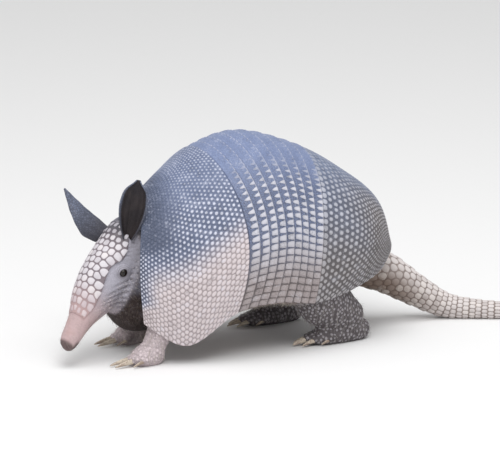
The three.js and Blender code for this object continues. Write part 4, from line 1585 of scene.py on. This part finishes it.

# %% [markdown]
# ## The hide's markings
#
# Pink on the snout and dark at its tip, mauve on the cheeks, grey on the neck, with pale fore
# feet and dusky hind legs, and painted shade nearly black under the throat and the jaw: the
# hide's colours go by where on the body a point is. One function answers that for any place,
# so that the small scales and hairs that are put on later take the same markings as the skin
# under them.

# %% Where each colour lies


def body_marks(points):
    """How much of each colour belongs at each place."""
    local = to_head(points)
    ahead = -local[:, 1]
    x, y, z = points.T
    behind = smooth(7, -5, ahead + 0.2 * (local[:, 2] + 30))
    on_head_now = smooth(-104, -112, y) * smooth(1.34, 1.1, off_head(local)) * (1 - behind)
    neck = smooth(-88, -100, y) * smooth(34, 48, z) * (1 - on_head_now)
    chest = smooth(-90, -98, y) * (1 - on_head_now) * smooth(34, 26, np.abs(x))
    # Painted shade, nearly black, under the neck, the chest and the jaw.
    throat = np.maximum(neck * smooth(76, 60, z), chest * smooth(76, 62, z))
    painted_jowl_shade = on_head_now * smooth(-41, -49, local[:, 2]) * smooth(70, 46, ahead) * 0.7
    throat = np.maximum(throat, painted_jowl_shade)
    tip = smooth(115, 119, ahead) * 0.9
    lip = smooth(108, 114, ahead) * smooth(-28, -34, local[:, 2])
    fore_foot = smooth(-84, -96, y) * smooth(58, 40, z) * smooth(24, 31, np.abs(x))
    return {
        "headed": on_head_now,
        "snout": on_head_now * smooth(50, 92, ahead - 0.1 * (local[:, 2] + 30)),
        "nose": on_head_now * np.maximum(tip, lip),
        "necked": neck,
        "throat": throat,
        "pale": fore_foot * (1 - on_head_now),
        "dusky": smooth(18, 34, y) * smooth(70, 52, z),
    }


carved = places_of(hide.vertices)
marks = body_marks(carved)
for values in marks.values():
    values[skin_count:] = 0
marks["painted_crease_shade"] = np.concatenate((painted_crease_shade, np.zeros(len(ear_marks))))
on_ears = {"eared": np.ones(len(ear_marks)), "inner": ear_marks[:, 0], "reach": ear_marks[:, 1]}
for key, values in on_ears.items():
    marks[key] = np.concatenate((np.zeros(skin_count), values))

# %% [markdown]
# ## The hide's finish
#
# Bare skin is never one colour: it mottles, shade is painted into its creases, and its
# ridges stay paler. The bump has two sizes, a fine grain and a net of small flat scales. The
# ears' backs show a coarser net in dark lines, and their cupped insides are painted nearly
# black with shade, and mottled.

# %% The hide's finish and the skin piece


def hide_finish(name):
    hide = Finish(name, {"Specular IOR Level": 0.3})
    here = hide.place()
    fine = hide.noise(here, 800.0, 4.0, 0.6)
    blotch = hide.noise(here, 85.0, 3.0)
    net = hide.net(here, 820.0, 0.25)
    inner = hide.marking("inner")
    eared = hide.marking("eared")
    colour = hide.mix(hide.marking("headed"), (0.27, 0.215, 0.2), (0.5, 0.485, 0.56))
    colour = hide.layers(colour, necked=(0.2, 0.205, 0.26), snout=(0.55, 0.405, 0.41))
    patches = hide.marking("snout") * blotch.rise(0.42, 0.7)
    colour = hide.mix(patches * 0.5, colour, (0.46, 0.29, 0.27))
    colour = hide.layers(
        colour,
        nose=(0.09, 0.06, 0.058),
        pale=(0.66, 0.56, 0.58),
        dusky=(0.115, 0.102, 0.107),
        # the last layer is painted shade under the throat and the jaw
        throat=(0.026, 0.014, 0.011),
    )
    far = hide.marking("reach").rise(0.1, 0.75)
    leather = hide.mix(far, (0.075, 0.075, 0.095), (0.18, 0.21, 0.3))
    pebbled = hide.net(here, 430.0, 0.28)
    leather = hide.mix((1.0 - pebbled) * 0.6, leather, (0.035, 0.04, 0.055))
    # Painted shade: the cupped inside of each ear is nearly black.
    painted_ear_shade = hide.mix(blotch.rise(0.35, 0.7), (0.007, 0.005, 0.0055), (0.026, 0.019, 0.018))
    leather = hide.mix(inner * 0.96, leather, painted_ear_shade)
    colour = hide.mix(eared, colour, leather)
    # Painted shade in the creases, the mouth, the nostrils and round the eyes.
    valley = hide.marking("painted_crease_shade") * (1.0 - eared)
    colour = hide.mix(valley * 0.62, colour, (0.055, 0.04, 0.042))
    lines = (1.0 - net) * (0.28 - hide.marking("snout") * 0.22 - hide.marking("headed") * 0.06)
    colour = hide.mix(lines, colour, (0.07, 0.055, 0.06))
    shade = (blotch - 0.5) * 0.9 + (fine - 0.5) * 0.7
    lit = (1.0 - inner) * 0.22
    hide.mottle(colour, shade, 0.5, (0.75, 0.68, 0.7), lit, (0.06, 0.05, 0.055), 0.4)
    hide.into("Roughness", 0.5 + fine * 0.25)
    hide.bump(fine * 0.4 + net * (1.0 - hide.marking("snout") * 0.7) * 0.8, 0.00022)
    return hide


HIDE = hide_finish("hide")
flesh_nodes = ["head", "neck", "trunk", "ear_left", "ear_right"]
for which in LEGS:
    for side in SIDES:
        flesh_nodes.extend((f"{which}_leg_{side}", f"{which}_foot_{side}"))
skin = dress(hide, "skin", HIDE, marks, flesh_nodes)
print("the skin has", triangles(skin), "triangles")

# %% [markdown]
# ## Eyes
#
# The eyes are small, nearly black and wet. Each is a whole ball set in its socket, so it is
# as deep as a real one from every side, with a brown ring of iris that shows only close
# up, and a polished surface that catches the lamps.

# %% Eyes in their sockets
EYE_WET = Finish("eye_wet", {"Roughness": 0.05, "Specular IOR Level": 0.45})
iris = EYE_WET.marking("iris")
ball = EYE_WET.mix(iris.rise(0.80, 0.86), (0.012, 0.01, 0.01), (0.016, 0.009, 0.006))
ball = EYE_WET.mix(iris.rise(0.93, 0.95), ball, (0.002, 0.002, 0.002))
streak = EYE_WET.noise(EYE_WET.place(), 900.0, 2.0)
EYE_WET.into("Base Color", EYE_WET.mix((streak - 0.4) * 0.4, ball, (0.012, 0.009, 0.008)))
for which, side in SIDES.items():
    bm = bmesh.new()
    bmesh.ops.create_uvsphere(bm, u_segments=40, v_segments=28, radius=EYE_RADIUS)
    ball = np.array([vert.co for vert in bm.verts])
    looks = gaze * (side, 1, 1)
    move(bm.verts, from_head(ball + EYE_PLACE * (side, 1, 1)))
    bmesh.ops.recalc_face_normals(bm, faces=bm.faces)
    mesh = as_mesh(bm, f"eyeball_{which}")
    towards_gaze = (ball / EYE_RADIUS) @ looks
    dress(mesh, f"eyeball_{which}", EYE_WET, {"iris": towards_gaze}, (f"eye_{which}",))
print("two eyes,", 2 * EYE_RADIUS, "mm across")

# %% [markdown]
# ## Claws
#
# Digging claws: the middle two of a fore foot are long and strong. Each goes on from its
# toe, curves down and thins to a tip just over the floor. They are round-ended skins like
# the flesh, with finer sections, and horn has fine streaks along it, darker at the root.

# %% Claws on every toe
CLAW_HORN = Finish("claw_horn", {"Specular IOR Level": 0.45})
along = CLAW_HORN.marking("along")
grain = CLAW_HORN.noise(CLAW_HORN.place((1, 0.12, 1)), 1500.0, 3.0)
horn = CLAW_HORN.mix(along.rise(0.15, 0.8), (0.33, 0.25, 0.2), (0.66, 0.58, 0.47))
CLAW_HORN.into("Base Color", CLAW_HORN.mix((grain - 0.35) * 0.7, horn, (0.22, 0.17, 0.14)))
CLAW_HORN.into("Roughness", 0.3 + grain * 0.25)
CLAW_HORN.bump(grain, 0.0001)


def claw(which, toe, side):
    root = toe_point(which, toe, side, 4, TOE_SPREAD, TOE_HEIGHT)
    reach = toe[3] + 4

    def surface(share, around):
        thick = np.where(share < 1e-6, 0.0, toe[4] * np.sqrt(np.maximum(1 - share, 0)))
        keel = 1 + 0.16 * np.maximum(np.sin(around), 0) ** 4
        x = root[0] + side * toe[0] * reach * 0.1 * share + thick * 0.8 * np.cos(around)
        z = root[2] + 0.8 - (TOE_HEIGHT - 1) * share**1.6 + thick * keel * np.sin(around) * 0.92
        return np.stack((x, root[1] - reach * share, np.maximum(z, 0.02)), -1)

    return surface


for which in LEGS:
    for word, side in SIDES.items():
        bm = bmesh.new()
        shares = []
        for toe in TOES[which]:
            blob(bm, 16, 14, claw(which, toe, side))
            tips = np.array([vert.co.y for vert in bm.verts][sum(map(len, shares)) :])
            shares.append((tips.max() - tips) / (tips.max() - tips.min()))
        bmesh.ops.recalc_face_normals(bm, faces=bm.faces)
        mesh = as_mesh(bm, f"{which}_claws_{word}")
        names = [f"{which}_claw_{word}_{n + 1}" for n in range(len(TOES[which]))]
        marks_on = {"along": np.concatenate(shares)}
        dress(mesh, f"{which}_claws_{word}", CLAW_HORN, marks_on, names)
print("claws on", len(LEGS) * 2, "feet")

# %% [markdown]
# ## Roots on the skin
#
# Small scales and hairs stand on the skin, so first they need roots: points picked at
# random over its faces, as likely as each face is large, and then thinned so that no two
# are closer than they should be. Each root also has a place on an unwrap of the body: the
# head, the trunk and each leg are rolled out flat, one beside the other, by angle round
# and distance along. That is where a scale or tuft finds its patch of the map.

# %% Pick roots
hide.calc_loop_triangles()
corners = np.empty(len(hide.loop_triangles) * 3, dtype=np.int32)
hide.loop_triangles.foreach_get("vertices", corners)
corners = corners.reshape(-1, 3)
corners = corners[(corners < skin_count).all(axis=1)]
normals = np.empty(len(hide.vertices) * 3)
hide.vertices.foreach_get("normal", normals)
normals = normals.reshape(-1, 3)
sides = carved[corners]
areas = np.linalg.norm(np.cross(sides[:, 1] - sides[:, 0], sides[:, 2] - sides[:, 0]), axis=1) / 2


def roots_on(density, tries, apart):
    """Roots where the density allows them, none closer to another than its own apart."""
    middles = sides.mean(axis=1)
    weight = areas * density(middles, normals[corners].mean(axis=1))
    picked = chance.choice(len(areas), tries, p=weight / weight.sum())
    shares = chance.dirichlet((1, 1, 1), tries)[..., None]
    points = (sides[picked] * shares).sum(axis=1)
    facing = unit((normals[corners[picked]] * shares).sum(axis=1))
    reach = apart(points)
    near = (-1, 0, 1)
    steps = [(a, b, c) for a in near for b in near for c in near]
    kept, taken = [], {}
    cell = float(reach.max())
    for i, (point, least) in enumerate(zip(points, reach)):
        x, y, z = np.floor(point / cell).astype(int)
        around = [taken.get((x + a, y + b, z + c), ()) for a, b, c in steps]
        if all(math.dist(point, points[other]) > least for spot in around for other in spot):
            taken.setdefault((x, y, z), []).append(i)
            kept.append(i)
    return points[kept], facing[kept]


def rolled_out(left, low, wide, turned, along):
    """A part laid flat on the chart, from an angle round it and a share along it."""
    high = low + 0.46 * np.clip(along, 0, 1)
    return np.stack((left + (turned / TURN + 0.5) * wide, high), -1)


def unwrapped(points):
    """Each place on a flat chart of the body: head, trunk and four legs side by side."""
    local = to_head(points)
    x, y, z = points.T
    round_head = np.arctan2(local[:, 0], local[:, 2] + 28)
    chart_head = rolled_out(0.02, 0.02, 0.46, round_head, -local[:, 1] / 126)
    chart_body = rolled_out(0.52, 0.02, 0.46, np.arctan2(x, z - 95), (y + 145) / 300)
    fore = y < -30
    number = fore * 2 + (x > 0)
    middle_y = np.where(fore, -112 + 14 * (x < 0), 80 - 7 * (x < 0))
    round_leg = np.arctan2(y - middle_y, np.abs(x) - np.where(fore, 42, 51))
    chart_leg = rolled_out(0.02 + 0.25 * number, 0.52, 0.2, round_leg, z / 66)
    on_leg = ((z < 62) & ((y < -84) | (y > 22)) & (np.abs(x) > 24))[:, None]
    ahead = (-local[:, 1] > 0)[:, None]
    return np.where(ahead, chart_head, np.where(on_leg, chart_leg, chart_body))


PATCH = 0.003  # how wide each one's place on the map is


def topped(sides):
    """Faces of two rings of points with one more point on top."""
    around = [(k, (k + 1) % sides) for k in range(sides)]
    walls = [(a, b, sides + b, sides + a) for a, b in around]
    return walls + [(sides + a, sides + b, 2 * sides) for a, b in around]


def root_marks(roots, each):
    """The body's markings at each root, and a tone of its own, for all its points."""
    marks = {key: np.repeat(value, each) for key, value in body_marks(roots).items()}
    marks["tone"] = np.repeat(chance.random(len(roots)), each)
    return marks


def many(roots, shape, faces, away, along, widths, heights):
    """A small shape on every root: its own x goes sideways, y along, and z away."""
    sideways = np.cross(along, away)
    count = len(roots)
    local = shape[None] * np.stack((widths, widths, heights), -1)[:, None]
    points = roots[:, None] + local[..., :1] * sideways[:, None]
    points = points + local[..., 1:2] * along[:, None] + local[..., 2:] * away[:, None]
    first = np.arange(count)[:, None] * len(shape)
    joined = [
        (np.array([face for face in faces if len(face) == corners_in])[None] + first[..., None])
        .reshape(-1, corners_in)
        .tolist()
        for corners_in in sorted({len(face) for face in faces})
    ]
    spread = shape[:, :2] - shape[:, :2].min(axis=0)
    spread = spread / spread.max() - 0.5
    places = unwrapped(roots)[:, None] + PATCH * spread[None]
    return points.reshape(-1, 3), sum(joined, []), places.reshape(-1, 2)


def trailing(points, away):
    """The way a coat lies: back along the body and down the legs, flat to the skin."""
    lie = np.tile((0.0, 0.75, -0.66), (len(points), 1))
    legged = (points[:, 2] < 62) & (np.abs(points[:, 0]) > 24)
    lie[legged] = (0.0, -0.2, -1.0)
    lie = lie + chance.normal(0, 0.12, lie.shape)
    return unit(lie - away * (lie * away).sum(axis=1)[:, None])


print("the skin's area is", round(areas.sum() / 100), "square centimetres")

# %% [markdown]
# ## Small scales
#
# Where the shell stops, the hide still carries small horny scales: on the legs and feet,
# the cheeks and the neck's folds. Each is a low dome with eight sides,
# tipped so that its far edge stands a little proud, and only two dozen triangles.

# %% Scatter the small scales
SCALE_TRIES = 15000
SCALE_SIDES = 8
SCALE_GAPS = (3.0, 2.1)  # between the small scales, on the legs and on the face
SCALE_WIDTHS = (0.4, 0.52)  # least and most, as shares of the gap
SCALE_HEIGHT = 0.2  # as a share of its width


def scale_density(points, facing):
    marks_there = body_marks(points)
    local = to_head(points)
    from_crown = np.degrees(np.arctan2(np.abs(local[:, 0]), local[:, 2] + 27))
    cheeks = marks_there["headed"] * smooth(75, 90, from_crown) * smooth(84, 66, -local[:, 1])
    legs = smooth(66, 52, points[:, 2]) * (points[:, 2] > 2.5) * (np.abs(points[:, 0]) > 24)
    legs = legs * ((points[:, 1] < -84) | (points[:, 1] > 20)) * (1 - marks_there["headed"])
    clear_eye = smooth(7.5, 9.5, eye_distance(points))
    return np.clip(cheeks + legs + 0.8 * marks_there["necked"], 0, 1) * clear_eye + 1e-9


def scale_gap(points):
    """Millimetres between scales: close on the face, wider on the legs."""
    faced = body_marks(points)["headed"]
    return blend(*SCALE_GAPS, faced)


roots, away = roots_on(scale_density, SCALE_TRIES, scale_gap)
turn = TURN * np.arange(SCALE_SIDES) / SCALE_SIDES
rim = np.stack((np.cos(turn), np.sin(turn) * 1.15, 0.25 * np.sin(turn) - 0.45), -1)
top = np.stack((np.cos(turn) * 0.78, np.sin(turn) * 0.9, 0.3 * np.sin(turn) + 0.55), -1)
dome = np.concatenate((rim, top, ((0.0, 0.1, 0.95),)))
widths = scale_gap(roots) * chance.uniform(*SCALE_WIDTHS, len(roots))
heights = widths * SCALE_HEIGHT
lie = trailing(roots, away)
points, faces, places = many(roots, dome, topped(SCALE_SIDES), away, lie, widths, heights)
marks = root_marks(roots, len(dome))
marks["height"] = np.tile(smooth(-0.5, 0.9, dome[:, 2]), len(roots))

SCALE_HORN = Finish("scale_horn", {"Specular IOR Level": 0.3})
fine = SCALE_HORN.noise(SCALE_HORN.place(), 900.0, 3.0)
tint = SCALE_HORN.mix(SCALE_HORN.marking("headed"), (0.3, 0.25, 0.24), (0.52, 0.49, 0.54))
tint = SCALE_HORN.layers(
    tint,
    necked=(0.24, 0.245, 0.3),
    snout=(0.68, 0.52, 0.52),
    pale=(0.66, 0.57, 0.59),
    dusky=(0.33, 0.31, 0.33),
    # the last layer is painted shade under the throat and the jaw
    throat=(0.045, 0.03, 0.025),
)
# Painted shade darkens each scale towards its base at the skin, and a random tone varies it.
dim = (1.0 - SCALE_HORN.marking("height")) * 0.7 + (SCALE_HORN.marking("tone") - 0.3) * 0.5
SCALE_HORN.into("Base Color", SCALE_HORN.mix(dim.rise(0.0, 1.0) * 0.8, tint, (0.1, 0.085, 0.09)))
SCALE_HORN.into("Roughness", 0.42 + fine * 0.25)
SCALE_HORN.bump(fine, 0.0001)
scales = shown("small_scales", points, faces, SCALE_HORN, marks, places)
print(len(roots), "small scales,", triangles(scales), "triangles")

# %% [markdown]
# ## Hairs
#
# An armadillo is nearly bare, but stiff pale hairs stand on the belly, the legs, the
# cheeks and the throat. Each hair is a thin three-sided spine with one bend, in tufts of
# three. It is solid mesh, as particle hair
# would be lost when the model is taken elsewhere.

# %% Scatter the hairs
HAIR_TRIES = 7000
HAIR_LENGTHS = (6.0, 12.0)
HAIR_SIDES = 3
TUFT = 3  # hairs in a tuft
TUFT_GAP = 3.4
TUFT_SPREAD = 0.5


def hair_density(points, facing):
    marks_there = body_marks(points)
    local = to_head(points)
    cheeks = marks_there["headed"] * smooth(-24, -34, local[:, 2]) * smooth(92, 70, -local[:, 1])
    legs = smooth(70, 58, points[:, 2]) * (points[:, 2] > 5)
    belly = smooth(0.1, -0.4, facing[:, 2]) * (points[:, 1] > -100) * 0.7
    throat = marks_there["throat"]
    return np.clip(cheeks + legs * 0.7 + belly + throat, 0, 1) + 1e-9


roots, away = roots_on(hair_density, HAIR_TRIES, lambda points: np.full(len(points), TUFT_GAP))
roots = np.repeat(roots, TUFT, axis=0)
roots += chance.normal(0, TUFT_SPREAD, roots.shape)
away = unit(np.repeat(away, TUFT, axis=0) + chance.normal(0, 0.12, roots.shape))
turn = TURN * np.arange(HAIR_SIDES) / HAIR_SIDES
root_ring = np.stack((np.cos(turn) * 0.012, np.sin(turn) * 0.012, turn * 0 - 0.04), -1)
bend_ring = np.stack((np.cos(turn) * 0.009, np.sin(turn) * 0.009 + 0.3, turn * 0 + 0.16), -1)
spine = np.concatenate((root_ring, bend_ring, ((0.0, 0.92, 0.2),)))
faced = body_marks(roots)["headed"]
long = chance.uniform(*HAIR_LENGTHS, len(roots)) * blend(1.0, 0.6, faced)
lie = trailing(roots, away)
points, faces, places = many(roots, spine, topped(HAIR_SIDES), away, lie, long, long)
points[:, 2] = np.maximum(points[:, 2], 0.1)
marks = root_marks(roots, len(spine))
HAIR = Finish("hair", {"Roughness": 0.45, "Specular IOR Level": 0.3})
tint = HAIR.mix(HAIR.marking("tone"), (0.66, 0.6, 0.53), (0.4, 0.35, 0.3))
tint = HAIR.mix(HAIR.marking("dusky") * 0.85, tint, (0.36, 0.34, 0.335))
# Painted shade darkens the hairs under the throat.
HAIR.into("Base Color", HAIR.mix(HAIR.marking("throat") * 0.9, tint, (0.06, 0.04, 0.03)))
hairs = shown("hairs", points, faces, HAIR, marks, places)
print(len(roots), "hairs,", triangles(hairs), "triangles")

# %% [markdown]
# ## Floor and light
#
# A plain pale floor and a wide soft light from above show the form without adding colour
# of their own. The floor looks white to the camera but keeps the animal's shadow. The
# lamps are set so that a colour renders about as it is written.

# %% Floor, lamps and world
WORLD_LIGHT = 0.62
FLOOR_HALF = 6.0
bm = bmesh.new()
bmesh.ops.create_grid(bm, x_segments=1, y_segments=1, size=FLOOR_HALF)
ground = as_mesh(bm, "floor")
floor = in_scene("floor", ground)
pale_floor = Finish("pale_floor", {"Roughness": 0.9, "Specular IOR Level": 0.1})
pale_floor.shader.inputs["Base Color"].default_value = (0.86, 0.86, 0.86, 1)
ground.materials.append(pale_floor.material)


def lamp(name, place, size, strength):
    """A square soft lamp that faces the animal."""
    light = bpy.data.lights.new(name, "AREA")
    light.shape = "SQUARE"
    light.size = size
    light.energy = strength
    obj = in_scene(name, light)
    obj.location = place
    obj.rotation_euler = (Vector(place) - AIM).to_track_quat("Z", "Y").to_euler()


lamp("overhead", (0.4, -0.3, 2.4), 1.6, 27.0)
lamp("side", (1.6, -1.0, 2.0), 1.0, 20.0)

world = bpy.data.worlds.new("studio")
world.use_nodes = True
bpy.context.scene.world = world
nodes = world.node_tree.nodes
links = world.node_tree.links
soft = nodes["Background"]
soft.inputs["Color"].default_value = (1, 1, 1, 1)
soft.inputs["Strength"].default_value = WORLD_LIGHT
white = nodes.new("ShaderNodeBackground")
white.inputs["Strength"].default_value = 1.0
path = nodes.new("ShaderNodeLightPath")
seen = path.outputs["Is Camera Ray"]
for ray in ("Is Glossy Ray", "Is Transmission Ray"):
    either = nodes.new("ShaderNodeMath")
    either.operation = "MAXIMUM"
    links.new(seen, either.inputs[0])
    links.new(path.outputs[ray], either.inputs[1])
    seen = either.outputs[0]
both = nodes.new("ShaderNodeMixShader")
links.new(seen, both.inputs[0])
links.new(soft.outputs[0], both.inputs[1])
links.new(white.outputs[0], both.inputs[2])
links.new(both.outputs[0], nodes["World Output"].inputs["Surface"])
bpy.context.scene.view_settings.view_transform = "Standard"
print("lamps are set")
